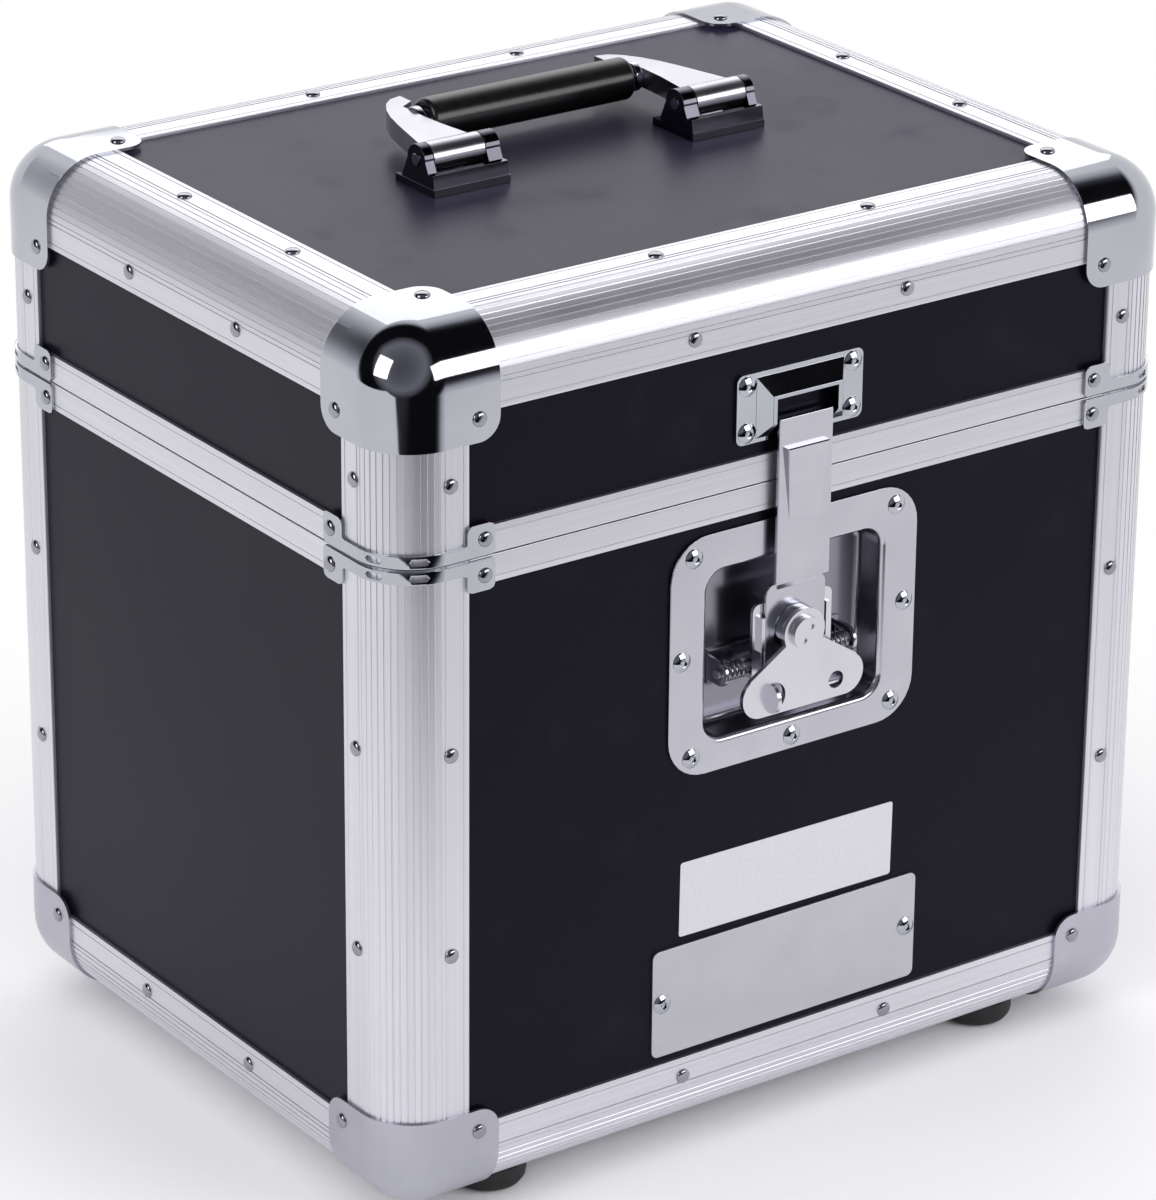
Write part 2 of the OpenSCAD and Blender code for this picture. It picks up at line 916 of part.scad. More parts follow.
module latch_hook() {
    play = 0.75; // room above and below the eccentric
    side = cam_throw + 0.2;
    color("#dad9e0") {
        outward(strap_u)
            translate([-strap_w / 2, strap_z[0]])
                square([strap_w, strap_z[1] - strap_z[0]]);
        outward([lip_u, strap_u[0] + 0.1])
            translate([-strap_w / 2, strap_z[1] - 1.5])
                square([strap_w, 1.5]);
        across([-8.5, 8.5])
            polygon([
                [strap_u[1] - 0.1, 247], [strap_u[1], 247],
                [strap_u[1] + 1.2, 276], [strap_u[1] - 0.1, 276]
            ]);
        outward([yoke_u[0], strap_u[0] + 0.1])
            translate([-9, yoke_z[1] - 1.5])
                square([18, 1.5]);
        outward(yoke_u)
            difference() {
                translate([0, (yoke_z[0] + yoke_z[1]) / 2])
                    rounded_rect(yoke_w, yoke_z[1] - yoke_z[0], 4);
                translate([0, spindle_z - cam_throw]) {
                    for (x = [-1, 1])
                        translate([x * (side - play), 0])
                            circle(boss_r + play);
                    square([2 * (side - play), 2 * (boss_r + play)], center = true);
                }
            }
    }
}

module latch_cam() {
    color("#bfc0c9")
        difference() {
            union() {
                outward(boss_u)
                    translate([0, spindle_z - cam_throw])
                        circle(boss_r);
                outward(barrel_u)
                    translate([0, spindle_z])
                        circle(barrel_r);
            }
            outward([boss_u[0] - 1, barrel_u[1] + 1])
                translate([0, spindle_z])
                    circle(spindle_r + gap);
        }
}

// Outline of the butterfly wing, its spindle at the origin.
module wing_area() {
    waist = [8.8, -4.2]; // where the sides leave the round middle
    hip = [25.2, -14.8]; // where they meet the lobes
    difference() {
        union() {
            circle(barrel_r);
            for (sx = [-1, 1])
                translate([sx * lobe[0], -lobe[1]])
                    circle(lobe_r);
            polygon([
                [-waist[0], waist[1]], [waist[0], waist[1]], hip, [lobe[0], -lobe[1]],
                [-lobe[0], -lobe[1]], [-hip[0], hip[1]]
            ]);
            translate([-lobe[0], -lobe[1] - lobe_r])
                square([2 * lobe[0], lobe_r]);
        }
        circle(spindle_r + gap);
        translate([thumb[0], -thumb[1]])
            circle(3.5);
        intersection() {
            translate([-thumb[0] + 1, -thumb[1]])
                circle(thumb_r);
            translate([-thumb[0] + 1, -thumb[1] - thumb_r])
                square([thumb_r, 2 * thumb_r]);
        }
    }
}

module latch_wing() {
    color("#dad9e0") {
        outward(wing_u)
            translate([0, spindle_z])
                wing_area();
        across([-thumb[0] - 0.6, -thumb[0] + 1])
            intersection() {
                translate([wing_u[1] - 0.3, spindle_z - thumb[1]])
                    circle(thumb_r);
                translate([wing_u[0] + 0.1, spindle_z - thumb[1] - thumb_r])
                    square([thumb_r + 2, 2 * thumb_r]);
            }
    }
}

module latch_spindle() {
    tail_u = [carrier_u[0] - 1.3, carrier_u[0] - 0.1];
    color("#c3c6cf")
        difference() {
            union() {
                outward(tail_u)
                    translate([0, spindle_z])
                        circle(4.3);
                outward([tail_u[0], head_u[0] + 0.1])
                    translate([0, spindle_z])
                        circle(spindle_r);
                outward(head_u)
                    translate([0, spindle_z])
                        circle(6.5);
            }
            for (side = [-1, 1])
                outward([head_u[1] - 0.7, head_u[1] + 1])
                    translate([side * 1.6, spindle_z + side * 2.6])
                        circle(1.1, $fn = 24);
        }
}

module latch_keeper() {
    mid = (keeper_z[0] + keeper_z[1]) / 2;
    base_u = dish_face[1];
    hood_u = 4.6;
    wall = 1.1;
    // The hood's foot stays clear of the rivets' heads
    foot_size = [keeper_w - 18, 24];
    crown_size = [keeper_w - 26.6, 11];
    foot_z = mid - 0.2;
    crown_z = mid - 0.7;
    window_half = 14.2;
    color("#c3c6cf") {
        // The hood is pressed out of the plate and leaves it open
        outward(dish_face)
            difference() {
                translate([0, mid])
                    rounded_rect(keeper_w, keeper_z[1] - keeper_z[0], 3);
                translate([0, foot_z])
                    square(foot_size - [2 * wall, 2 * wall], center = true);
            }
        difference() {
            hull() {
                outward([base_u - 0.1, base_u])
                    translate([0, foot_z])
                        square(foot_size, center = true);
                outward([hood_u - 0.1, hood_u])
                    translate([0, crown_z])
                        square(crown_size, center = true);
            }
            hull() {
                outward([base_u - 0.2, base_u])
                    translate([0, foot_z])
                        square(foot_size - [2 * wall, 2 * wall], center = true);
                outward([hood_u - wall - 0.1, hood_u - wall])
                    translate([0, crown_z])
                        square(crown_size - [2 * wall, 2 * wall], center = true);
            }
            outward([hood_u - wall - 0.5, hood_u + 1])
                translate([-window_half, keeper_z[0]])
                    square([2 * window_half, 17.2]);
            outward([base_u, hood_u + 1])
                translate([-window_half, keeper_z[0] - 1])
                    square([2 * window_half, 11]);
        }
    }
}

// ---- handle ----

// Extrudes a drawing of (y, height above the lid panel) along x.
module along_lid(x) {
    translate([x[0], 0, z_lid_face])
        rotate([90, 0, 90])
            linear_extrude(x[1] - x[0])
                children();
}

module ear_area() {
    difference() {
        union() {
            translate([pivot_y, pivot_h])
                circle(barrel_arm_r);
            polygon([
                [-12.5, 1], [pivot_y - barrel_arm_r, pivot_h], [pivot_y + barrel_arm_r, pivot_h],
                [10, 1]
            ]);
        }
        translate([pivot_y, pivot_h])
            circle(pivot_r + gap);
    }
}

module bracket() {
    low = bracket_span[0];
    high = bracket_span[1];
    translate([low, -13.5, z_lid_face + gap])
        cube([bracket_w, 26.5, 3]);
    along_lid([low + 0.4, arm_x[0] - 0.4])
        ear_area();
    along_lid([arm_x[1] + 0.4, high - 0.2])
        ear_area();
    along_lid([low + 0.4, high - 0.2])
        polygon([[-13.5, 1], [-12.2, 8.5], [-9.4, 8.5], [-9.4, 1]]);
}

module handle_brackets() {
    color("#c3c6cf")
        for (side = [0, 1])
            mirror([side, 0, 0])
                bracket();
}

module handle_pins() {
    color("#8f8e98")
        for (side = [0, 1])
            mirror([side, 0, 0])
                translate([bracket_span[0], pivot_y, z_lid_face + pivot_h])
                    rotate([0, 90, 0])
                        cylinder(r = pivot_r, h = bracket_w + 0.4);
}

// Outline of an arm seen from above, from the pivot round the elbow to the end of the grip.
module arm_area() {
    elbow = grip_y - 38.5; // the points beyond the bend move with the grip
    translate([grip_end, 0])
        polygon([
            [2.5, pivot_y], [25.5, pivot_y], [24.9, 5], [22.1, 16], [19.3, 27],
            [16.3, 37 + elbow], [12.9, 45 + elbow], [8.7, 51.6 + elbow], [4.1, 55.6 + elbow], [-1.3, 57 + elbow],
            [-1.3, 49.2 + elbow], [5.1, 45.4 + elbow], [5.1, 32 + elbow], [4.5, 20], [3.1, 9], [2.5, 4]
        ]);
}

module handle_arms() {
    color("#d0d1d8")
        for (side = [0, 1])
            mirror([side, 0, 0])
                difference() {
                    union() {
                        translate([0, 0, z_lid_face + arm_h[0]])
                            linear_extrude(arm_h[1] - arm_h[0])
                                arm_area();
                        along_lid(arm_x)
                            translate([pivot_y, pivot_h])
                                circle(barrel_arm_r);
                    }
                    along_lid([arm_x[0] - 1, arm_x[1] + 1])
                        translate([pivot_y, pivot_h])
                            circle(pivot_r + gap);
                }
}

module grip_cylinder(r, x0, x1) {
    translate([x0, grip_y, z_lid_face + grip_h])
        rotate([0, 90, 0])
            cylinder(r = r, h = x1 - x0);
}

module handle_core() {
    color("#c3c6cf") {
        grip_cylinder(core_r, -core_end, core_end);
        for (side = [0, 1])
            mirror([side, 0, 0])
                grip_cylinder(ring_r, grip_end + 2, core_end);
    }
}

module handle_grip() {
    color("#121214")
        difference() {
            grip_cylinder(grip_r, -grip_end, grip_end);
            grip_cylinder(core_r + gap, -grip_end - 1, grip_end + 1);
        }
}

base_panel_front();
base_panel_back();
base_panel_left();
base_panel_right();
base_panel_bottom();
lid_panel_front();
lid_panel_back();
lid_panel_left();
lid_panel_right();
lid_panel_top();
base_upright_front_left();
base_upright_front_right();
base_upright_back_left();
base_upright_back_right();
lid_upright_front_left();
lid_upright_front_right();
lid_upright_back_left();
lid_upright_back_right();
bottom_edge_front();
bottom_edge_back();
bottom_edges_side();
top_edge_front();
top_edge_back();
top_edges_side();
base_rim_front();
base_rim_back();
base_rims_side();
lid_rim_front();
lid_rim_back();
lid_rims_side();
ball_corners_bottom();
ball_corners_top();
rim_braces_base();
rim_braces_lid();
rivets_base();
rivets_lid();
blind_rivets_base();
blind_rivets_lid();
feet();
base_foam();
lid_foam();
nameplate();
hinge_leaves_base();
hinge_leaves_lid();
hinge_pins();
latch_dish();
latch_saddle();
latch_swing_pin();
latch_springs();
latch_carrier();
latch_hook();
latch_wing();
latch_cam();
latch_spindle();
latch_keeper();
handle_brackets();
handle_pins();
handle_arms();
handle_core();
handle_grip();
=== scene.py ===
import json
import math

import bmesh
import bpy
from mathutils import Matrix, Vector

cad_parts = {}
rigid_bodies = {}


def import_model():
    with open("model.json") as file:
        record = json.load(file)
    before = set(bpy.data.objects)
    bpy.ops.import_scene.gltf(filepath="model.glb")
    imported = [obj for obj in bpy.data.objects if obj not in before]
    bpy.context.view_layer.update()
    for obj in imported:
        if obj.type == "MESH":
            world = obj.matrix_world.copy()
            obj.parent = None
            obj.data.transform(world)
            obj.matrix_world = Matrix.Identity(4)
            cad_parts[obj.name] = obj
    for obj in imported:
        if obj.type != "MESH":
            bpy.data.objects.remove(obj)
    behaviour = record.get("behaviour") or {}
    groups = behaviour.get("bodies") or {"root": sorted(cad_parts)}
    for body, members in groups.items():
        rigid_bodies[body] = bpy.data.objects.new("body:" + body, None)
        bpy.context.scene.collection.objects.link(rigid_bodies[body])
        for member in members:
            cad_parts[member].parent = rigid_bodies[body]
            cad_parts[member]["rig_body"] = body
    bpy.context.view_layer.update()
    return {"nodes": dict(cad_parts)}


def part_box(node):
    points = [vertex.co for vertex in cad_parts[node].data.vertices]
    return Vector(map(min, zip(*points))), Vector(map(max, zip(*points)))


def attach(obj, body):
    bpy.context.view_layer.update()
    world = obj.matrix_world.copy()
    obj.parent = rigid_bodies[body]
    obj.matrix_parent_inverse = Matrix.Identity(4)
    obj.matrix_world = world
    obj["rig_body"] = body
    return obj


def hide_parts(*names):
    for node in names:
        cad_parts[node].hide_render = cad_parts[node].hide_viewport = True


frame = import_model()
scene = bpy.context.scene

mm = 0.001
# The case's planes, in millimetres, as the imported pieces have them
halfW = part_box("base_upright_front_right")[1].x / mm
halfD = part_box("base_upright_back_left")[1].y / mm
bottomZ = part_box("bottom_edge_front")[0].z / mm
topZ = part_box("top_edge_front")[1].z / mm
seamGap = 0.4
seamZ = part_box("lid_rim_front")[0].z / mm - seamGap / 2
print("frame loaded", round(halfW * 2), "x", round(halfD * 2), "mm")


def placed(name, data):
    obj = bpy.data.objects.new(name, data)
    scene.collection.objects.link(obj)
    return obj


# Camera.

cameraSet = {
    "lens": 162.99,
    "azimuth": -35.56,
    "elevation": 23.11,
    "roll": 0.49,
    "position": (-1156.65, -1617.61, 1021.03),
}


def makeCamera():
    data = bpy.data.cameras.new("photoCamera")
    data.lens = cameraSet["lens"]
    data.sensor_width = 36
    data.clip_start = 0.05
    data.clip_end = 50
    azimuth, elevation, roll = (math.radians(cameraSet[k]) for k in ("azimuth", "elevation", "roll"))
    reach = math.cos(elevation)
    back = Vector((math.sin(azimuth) * reach, -math.cos(azimuth) * reach, math.sin(elevation)))
    right = Vector((math.cos(azimuth), math.sin(azimuth), 0))
    up = back.cross(right)
    rolledRight = math.cos(roll) * right + math.sin(roll) * up
    rolledUp = -math.sin(roll) * right + math.cos(roll) * up
    turn = Matrix((rolledRight, rolledUp, back)).transposed().to_4x4()
    scene.camera = placed("photoCamera", data)
    scene.camera.matrix_world = Matrix.Translation(Vector(cameraSet["position"]) * mm) @ turn


makeCamera()


# Materials.

def linear(hexText):
    channels = [int(hexText[i:i + 2], 16) / 255 for i in (1, 3, 5)]
    return tuple(c / 12.92 if c <= 0.04045 else ((c + 0.055) / 1.055) ** 2.4 for c in channels) + (1.0,)


def connect(tree, node, inputs):
    # Fills a node's inputs: a socket or a node's first output is linked, and any other value is set.
    for name, value in inputs.items():
        if isinstance(value, bpy.types.Node):
            value = value.outputs[0]
        if isinstance(value, bpy.types.NodeSocket):
            tree.links.new(value, node.inputs[name])
        else:
            node.inputs[name].default_value = value


def addNode(tree, kind, inputs={}, settings={}):
    made = tree.nodes.new(kind)
    for name, value in settings.items():
        setattr(made, name, value)
    connect(tree, made, inputs)
    return made


colourMix = {"data_type": "RGBA"}  # a mix of the colours in its inputs 6 and 7 by input 0


def startMaterial(name, inputs):
    made = bpy.data.materials.new(name)
    made.use_nodes = True
    tree = made.node_tree
    shader = tree.nodes["Principled BSDF"]
    connect(tree, shader, inputs)
    where = addNode(tree, "ShaderNodeTexCoord").outputs["Object"]
    return made, tree, shader, where  # "where" is the point on the piece, in metres


def drawnAluminium(name, axis):
    # Extruded aluminium with a satin anodised skin: nearly white, with faint die lines along its length.
    made, tree, shader, where = startMaterial(name, {"Metallic": 1.0, "Anisotropic": 0.3})
    across, along = 700, 5  # lines 1.4 mm apart and 200 mm long, coarser than real ones so that they show
    stretch = [across] * 3
    stretch[axis] = along
    mapping = addNode(tree, "ShaderNodeMapping", {"Vector": where, "Scale": stretch})
    lines = addNode(tree, "ShaderNodeTexNoise", {"Vector": mapping, "Scale": 1.0, "Detail": 4.0})
    clouds = addNode(tree, "ShaderNodeTexNoise", {"Vector": where, "Scale": 22.0, "Detail": 2.0})
    tone = addNode(tree, "ShaderNodeMix", {0: lines, 6: linear("#d2d1d9"), 7: linear("#e6e5ec")}, colourMix)
    satin = addNode(tree, "ShaderNodeMapRange", {"Value": clouds, "To Min": 0.34, "To Max": 0.46})
    bump = addNode(tree, "ShaderNodeBump", {"Height": lines, "Strength": 0.25, "Distance": 0.00008})
    connect(tree, shader, {"Base Color": tone.outputs[2], "Roughness": satin, "Normal": bump})
    return made


def platedSteel(name, dark, bright, rough, brush, axis, recess=None):
    # Pressed steel sheet with a bright plated finish: the press leaves faint brushing along one axis. Given a
    # recess, the colour darkens with depth down into it, as painted shade.
    made, tree, shader, where = startMaterial(name, {"Metallic": 1.0})
    stretch = [900, 900, 900]  # brushing about 1 mm apart, coarser than real so that it shows
    stretch[axis] = 12
    mapping = addNode(tree, "ShaderNodeMapping", {"Vector": where, "Scale": stretch})
    brushing = addNode(tree, "ShaderNodeTexNoise", {"Vector": mapping, "Scale": 1.0, "Detail": 3.0})
    smudges = addNode(tree, "ShaderNodeTexNoise", {"Vector": where, "Scale": 45.0, "Detail": 3.0})
    tone = addNode(tree, "ShaderNodeMix", {0: smudges, 6: linear(dark), 7: linear(bright)}, colourMix)
    if recess:
        # Painted shade: the colour darkens with depth down into the recess
        near, far, recessShadeColour = recess
        y = addNode(tree, "ShaderNodeSeparateXYZ", {0: where}).outputs["Y"]
        depth = addNode(tree, "ShaderNodeMapRange", {"Value": y, "From Min": near, "From Max": far})
        tone = addNode(tree, "ShaderNodeMix", {0: depth, 6: tone.outputs[2], 7: linear(recessShadeColour)}, colourMix)
    polish = addNode(tree, "ShaderNodeMapRange", {"Value": smudges, "To Min": rough[0], "To Max": rough[1]})
    bump = addNode(tree, "ShaderNodeBump", {"Height": brushing, "Strength": brush, "Distance": 0.00005})
    connect(tree, shader, {"Base Color": tone.outputs[2], "Roughness": polish, "Normal": bump})
    return made


def blackLaminate():
    # Phenolic laminate on plywood: black with a violet haze, satin, with the fine pebble of its press plate
    # and the dull smudges of handling.
    made, tree, shader, where = startMaterial("blackLaminate", {
        "IOR": 1.24, "Specular Tint": linear("#dcd4ff"),
        "Sheen Weight": 0.3, "Sheen Roughness": 0.3, "Sheen Tint": linear("#bdb3f7"),
    })
    pebble = addNode(tree, "ShaderNodeTexVoronoi", {
        "Vector": where, "Scale": 900.0,
    }, {"feature": "SMOOTH_F1"})
    handling = addNode(tree, "ShaderNodeTexNoise", {
        "Vector": where, "Scale": 7.0, "Detail": 4.0, "Distortion": 0.6,
    })
    spots = addNode(tree, "ShaderNodeTexNoise", {"Vector": where, "Scale": 38.0, "Detail": 2.0})
    marks = addNode(tree, "ShaderNodeMapRange", {"Value": spots, "From Min": 0.6, "From Max": 0.8})
    tone = addNode(tree, "ShaderNodeMix", {
        0: handling, 6: linear("#050306"), 7: linear("#0c090f"),
    }, colourMix)
    marked = addNode(tree, "ShaderNodeMix", {0: marks, 6: tone.outputs[2], 7: linear("#121016")}, colourMix)
    satin = addNode(tree, "ShaderNodeMapRange", {"Value": handling, "To Min": 0.26, "To Max": 0.44})
    dulled = addNode(tree, "ShaderNodeMath", {0: marks, 1: 0.08, 2: satin}, {"operation": "MULTIPLY_ADD"})
    bump = addNode(tree, "ShaderNodeBump", {"Height": pebble, "Strength": 0.2, "Distance": 0.00006})
    connect(tree, shader, {"Base Color": marked.outputs[2], "Roughness": dulled, "Normal": bump})
    return made


def mouldedBlack(name, colour, rough, grain, depth, ior):
    # Moulded rubber or PVC: black, with a fine spark-eroded grain.
    made, tree, shader, where = startMaterial(name, {"IOR": ior})
    pores = addNode(tree, "ShaderNodeTexNoise", {"Vector": where, "Scale": grain, "Detail": 3.0})
    tone = addNode(tree, "ShaderNodeMix", {0: pores, 6: linear(colour[0]), 7: linear(colour[1])}, colourMix)
    satin = addNode(tree, "ShaderNodeMapRange", {"Value": pores, "To Min": rough[0], "To Max": rough[1]})
    bump = addNode(tree, "ShaderNodeBump", {"Height": pores, "Strength": 0.3, "Distance": depth})
    connect(tree, shader, {"Base Color": tone.outputs[2], "Roughness": satin, "Normal": bump})
    return made


def cellFoam():
    # Closed-cell polyethylene foam: charcoal, matt, with cut cells of about a millimetre.
    made, tree, shader, where = startMaterial("cellFoam", {"Roughness": 0.95, "Specular IOR Level": 0.2})
    cells = addNode(tree, "ShaderNodeTexVoronoi", {
        "Vector": where, "Scale": 700.0,
    }, {"feature": "DISTANCE_TO_EDGE"})
    tone = addNode(tree, "ShaderNodeMix", {0: cells, 6: linear("#3c3c42"), 7: linear("#232327")}, colourMix)
    bump = addNode(tree, "ShaderNodeBump", {"Height": cells, "Strength": 0.6, "Distance": 0.0004})
    connect(tree, shader, {"Base Color": tone.outputs[2], "Normal": bump})
    return made


def coatedPaper():
    # Self-adhesive paper label with a satin coat: off-white, with a barely uneven surface.
    made, tree, shader, where = startMaterial("coatedPaper", {"Roughness": 0.45})
    fibres = addNode(tree, "ShaderNodeTexNoise", {"Vector": where, "Scale": 650.0, "Detail": 4.0})
    waves = addNode(tree, "ShaderNodeTexNoise", {"Vector": where, "Scale": 28.0})
    tone = addNode(tree, "ShaderNodeMix", {0: fibres, 6: linear("#bdbcc5"), 7: linear("#cfced6")}, colourMix)
    bump = addNode(tree, "ShaderNodeBump", {"Height": waves, "Strength": 0.25, "Distance": 0.0006})
    connect(tree, shader, {"Base Color": tone.outputs[2], "Normal": bump})
    return made


aluminium = [drawnAluminium("drawnAluminium" + "XYZ"[axis], axis) for axis in range(3)]
laminate = blackLaminate()
chrome = platedSteel("polishedChrome", "#adafb7", "#bdbfc7", (0.04, 0.1), 0.05, 2)
# Painted reflection: a darker copy of the chrome, so that the handle's brackets look as if they reflected dark
# surroundings
shadedChrome = platedSteel("handleChromePaintedShade", "#4c4c54", "#62626b", (0.06, 0.14), 0.05, 2)
castAlloy = platedSteel("platedCastAlloy", "#a9a8b1", "#c6c5cd", (0.18, 0.28), 0.1, 2)
nickel = platedSteel("satinNickel", "#adacb8", "#c2c1cb", (0.28, 0.38), 0.15, 2)
zinc = platedSteel("brightZinc", "#c9c8d0", "#dddce3", (0.16, 0.28), 0.2, 2)
# Painted shade: the dish and the saddle darken with depth down into the latch's recess
dishZincPaintedShade = platedSteel("dishZincPaintedShade", "#b4b3bd", "#cbcad3", (0.14, 0.26), 0.2, 2, (-0.1385, -0.13, "#8b8a94"))
strapZinc = platedSteel("strapZinc", "#b2b1bb", "#cccbd4", (0.14, 0.24), 0.2, 2)
# Painted reflection: a darker copy of the chrome for the solid rivet heads and the foot screws, as if they
# reflected dark surroundings
rivetChromePaintedShade = platedSteel("rivetChromePaintedShade", "#8c8c95", "#a8a8b0", (0.1, 0.18), 0.05, 2)
wireSteel = platedSteel("springWire", "#8f8f98", "#a9a9b2", (0.2, 0.3), 0.05, 0)
plateAluminium = platedSteel("nameplateAluminium", "#bab9c0", "#cccbd2", (0.34, 0.44), 0.2, 0)
rubber = mouldedBlack("mouldedRubber", ("#101012", "#19191b"), (0.55, 0.7), 500.0, 0.00015, 1.5)
gripPvc = mouldedBlack("glossyPvc", ("#08080a", "#0f0f11"), (0.2, 0.3), 260.0, 0.00004, 1.53)
foam = cellFoam()
paper = coatedPaper()
print("materials made")


# Shared mesh tools, in millimetres.

def onFront(a, b, t):
    # Across the front, up from the case's bottom and out from the extrusions' face.
    return Vector((a, -halfD - t, bottomZ + b))


# The next three place a section's point (a, b), distances in from the case's faces, at t along an edge.

def alongX(sideY, z, up):
    return lambda a, b, t: Vector((t, sideY * (halfD - a), z + up * b))


def alongY(sideX, z, up):
    return lambda a, b, t: Vector((sideX * (halfW - a), t, z + up * b))


def alongZ(sideX, sideY):
    return lambda a, b, t: Vector((sideX * (halfW - a), sideY * (halfD - b), t))


def arc(centre, radius, start, end, steps):
    angles = [math.radians(start + (end - start) * i / steps) for i in range(steps + 1)]
    return [(centre[0] + radius * math.cos(a), centre[1] + radius * math.sin(a)) for a in angles]


def roundedRect(w, h, r, centre=(0, 0)):
    points = []
    for i, (sx, sy) in enumerate([(1, 1), (-1, 1), (-1, -1), (1, -1)]):
        corner = (centre[0] + sx * (w / 2 - r), centre[1] + sy * (h / 2 - r))
        points += arc(corner, r, 90 * i, 90 * (i + 1), steps=8)
    return points


def meshOf(bm, name):
    # The shape as mesh data. The shape itself is used up.
    mesh = bpy.data.meshes.new(name)
    bm.to_mesh(mesh)
    bm.free()
    return mesh


def shapeOf(holder):
    # What a helper object's curve or modifiers make. The helper itself is used up.
    bpy.context.view_layer.update()
    shaped = bpy.data.meshes.new_from_object(holder.evaluated_get(bpy.context.evaluated_depsgraph_get()))
    bm = bmesh.new()
    bm.from_mesh(shaped)
    data = holder.data
    bpy.data.objects.remove(holder)
    bpy.data.batch_remove([data, shaped])
    return bm


def plate(outlines, low, high, place, bevel=0.0):
    # Closed outlines, the first round the others, given a thickness and rounded edges, then put in place.
    curve = bpy.data.curves.new("outline", "CURVE")
    curve.dimensions = "2D"
    curve.fill_mode = "BOTH"
    curve.extrude = (high - low) / 2 - bevel
    curve.bevel_depth = bevel
    curve.bevel_resolution = 2
    curve.offset = -bevel
    for points in outlines:
        spline = curve.splines.new("POLY")
        spline.points.add(len(points) - 1)
        for point, at in zip(spline.points, points):
            point.co = (at[0], at[1], 0, 1)
        spline.use_cyclic_u = True
    bm = shapeOf(placed("helper", curve))
    bmesh.ops.remove_doubles(bm, verts=bm.verts, dist=0.0005)
    for v in bm.verts:
        v.co = place(v.co.x, v.co.y, v.co.z + (low + high) / 2)
    return bm


def lathe(profile, segments):
    # Turns (radius, height) points round Z. The first and last lie on the axis.
    bm = bmesh.new()
    rings = []
    for r, z in profile:
        if r < 1e-6:
            rings.append([bm.verts.new((0, 0, z))] * segments)
            continue
        turns = [2 * math.pi * i / segments for i in range(segments)]
        rings.append([bm.verts.new((r * math.cos(a), r * math.sin(a), z)) for a in turns])
    for low, high in zip(rings, rings[1:]):
        for i in range(segments):
            j = (i + 1) % segments
            corners = list(dict.fromkeys([low[i], low[j], high[j], high[i]]))
            if len(corners) > 2:
                bm.faces.new(corners)
    return bm


def rod(radius, length, rounding, segments):
    # Stands on the middle of its length, along Z.
    half = length / 2
    turn = [(0, rounding), (rounding * 0.7, rounding * 0.7), (rounding, 0)]
    low = [(radius - rounding + x, -half + rounding - y) for x, y in turn]
    high = [(x, -z) for x, z in reversed(low)]
    return lathe([(0, -half)] + low + high + [(0, half)], segments)


def moved(bm, matrix):
    bmesh.ops.transform(bm, matrix=matrix, verts=bm.verts)
    return bm


def merged(parts):
    # One shape from several, which are used up.
    whole = bmesh.new()
    for part in parts:
        mesh = meshOf(part, "part")
        whole.from_mesh(mesh)
        bpy.data.meshes.remove(mesh)
    return whole


def mirroredX(bm):
    other = bm.copy()
    moved(other, Matrix.Scale(-1, 4, (1, 0, 0)))
    return merged([bm, other])


def atCorners(bm):
    # Copies a shape made for the corner at low x and low y to all four corners.
    parts = []
    for sx in (1, -1):
        for sy in (1, -1):
            part = bm.copy()
            moved(part, Matrix.Diagonal((sx, sy, 1, 1)))
            parts.append(part)
    bm.free()
    return merged(parts)


def makePiece(name, bm, material, *nodes, angle=32, weld=0.0008, hides=True):
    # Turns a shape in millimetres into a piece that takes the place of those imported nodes.
    bmesh.ops.remove_doubles(bm, verts=bm.verts, dist=weld)
    bmesh.ops.recalc_face_normals(bm, faces=bm.faces)
    bmesh.ops.scale(bm, vec=(mm, mm, mm), verts=bm.verts)
    mesh = meshOf(bm, name)
    mesh.shade_smooth()
    mesh.set_sharp_from_angle(angle=math.radians(angle))
    mesh.materials.clear()
    mesh.materials.append(material)
    obj = placed(name, mesh)
    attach(obj, frame["nodes"][nodes[0]]["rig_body"])
    if hides:
        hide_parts(*nodes)
    # Large faces stay evenly lit beside their rounded edges
    level = obj.modifiers.new("flatFaces", "WEIGHTED_NORMAL")
    level.keep_sharp = True
    return obj


def bevelled(holder, width, steps, limit):
    # Rounds a helper's edges that turn by more than the limit in degrees.
    bevel = holder.modifiers.new("bevel", "BEVEL")
    bevel.width = width
    bevel.segments = steps
    bevel.limit_method = "ANGLE"
    bevel.angle_limit = math.radians(limit)
    return shapeOf(holder)


def soften(pieces):
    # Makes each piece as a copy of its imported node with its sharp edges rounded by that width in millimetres.
    for name, (node, width, material) in pieces.items():
        bm = bmesh.new()
        bm.from_mesh(frame["nodes"][node].data)
        bmesh.ops.scale(bm, vec=(1 / mm,) * 3, verts=bm.verts)
        bmesh.ops.remove_doubles(bm, verts=bm.verts, dist=0.002)
        bmesh.ops.dissolve_limit(bm, angle_limit=math.radians(1), verts=bm.verts, edges=bm.edges)
        steps = 3 if width > 0.5 else 2  # wide roundings need more of them
        makePiece(name, bevelled(placed("helper", meshOf(bm, node)), width, steps, 28), material, node)


def paint(nodes, material):
    for node in nodes:
        mesh = frame["nodes"][node].data
        mesh.materials.clear()
        mesh.materials.append(material)


# Panels.

paint([n for n in frame["nodes"] if "_panel_" in n], laminate)


# Edge extrusions.

edge = {
    "leg": 33.0,  # how far it reaches over each panel
    "radius": 22.0,
    "skin": 1.6,
    "slot": 7.0,  # takes the panel
    "flange": 1.2,
    "flangeLeg": 27.0,
    "web": (20.0, 21.2),
    "chamberArc": (264, 186),  # degrees
    "grooves": 13,
    "groove": (0.7, 0.22),  # width and depth of the lines round the corner
    "edgeGroove": (0.8, 0.3),  # of the line where the round part ends
    "lipGroove": (2.6, 0.55, 0.25),  # distance from the lip's end, width and depth
    "lipRound": 0.5,
    "facet": 1.2,  # length of the steps round the corner
    "endGap": 0.05,  # the extrusions end just inside the ball corners
}


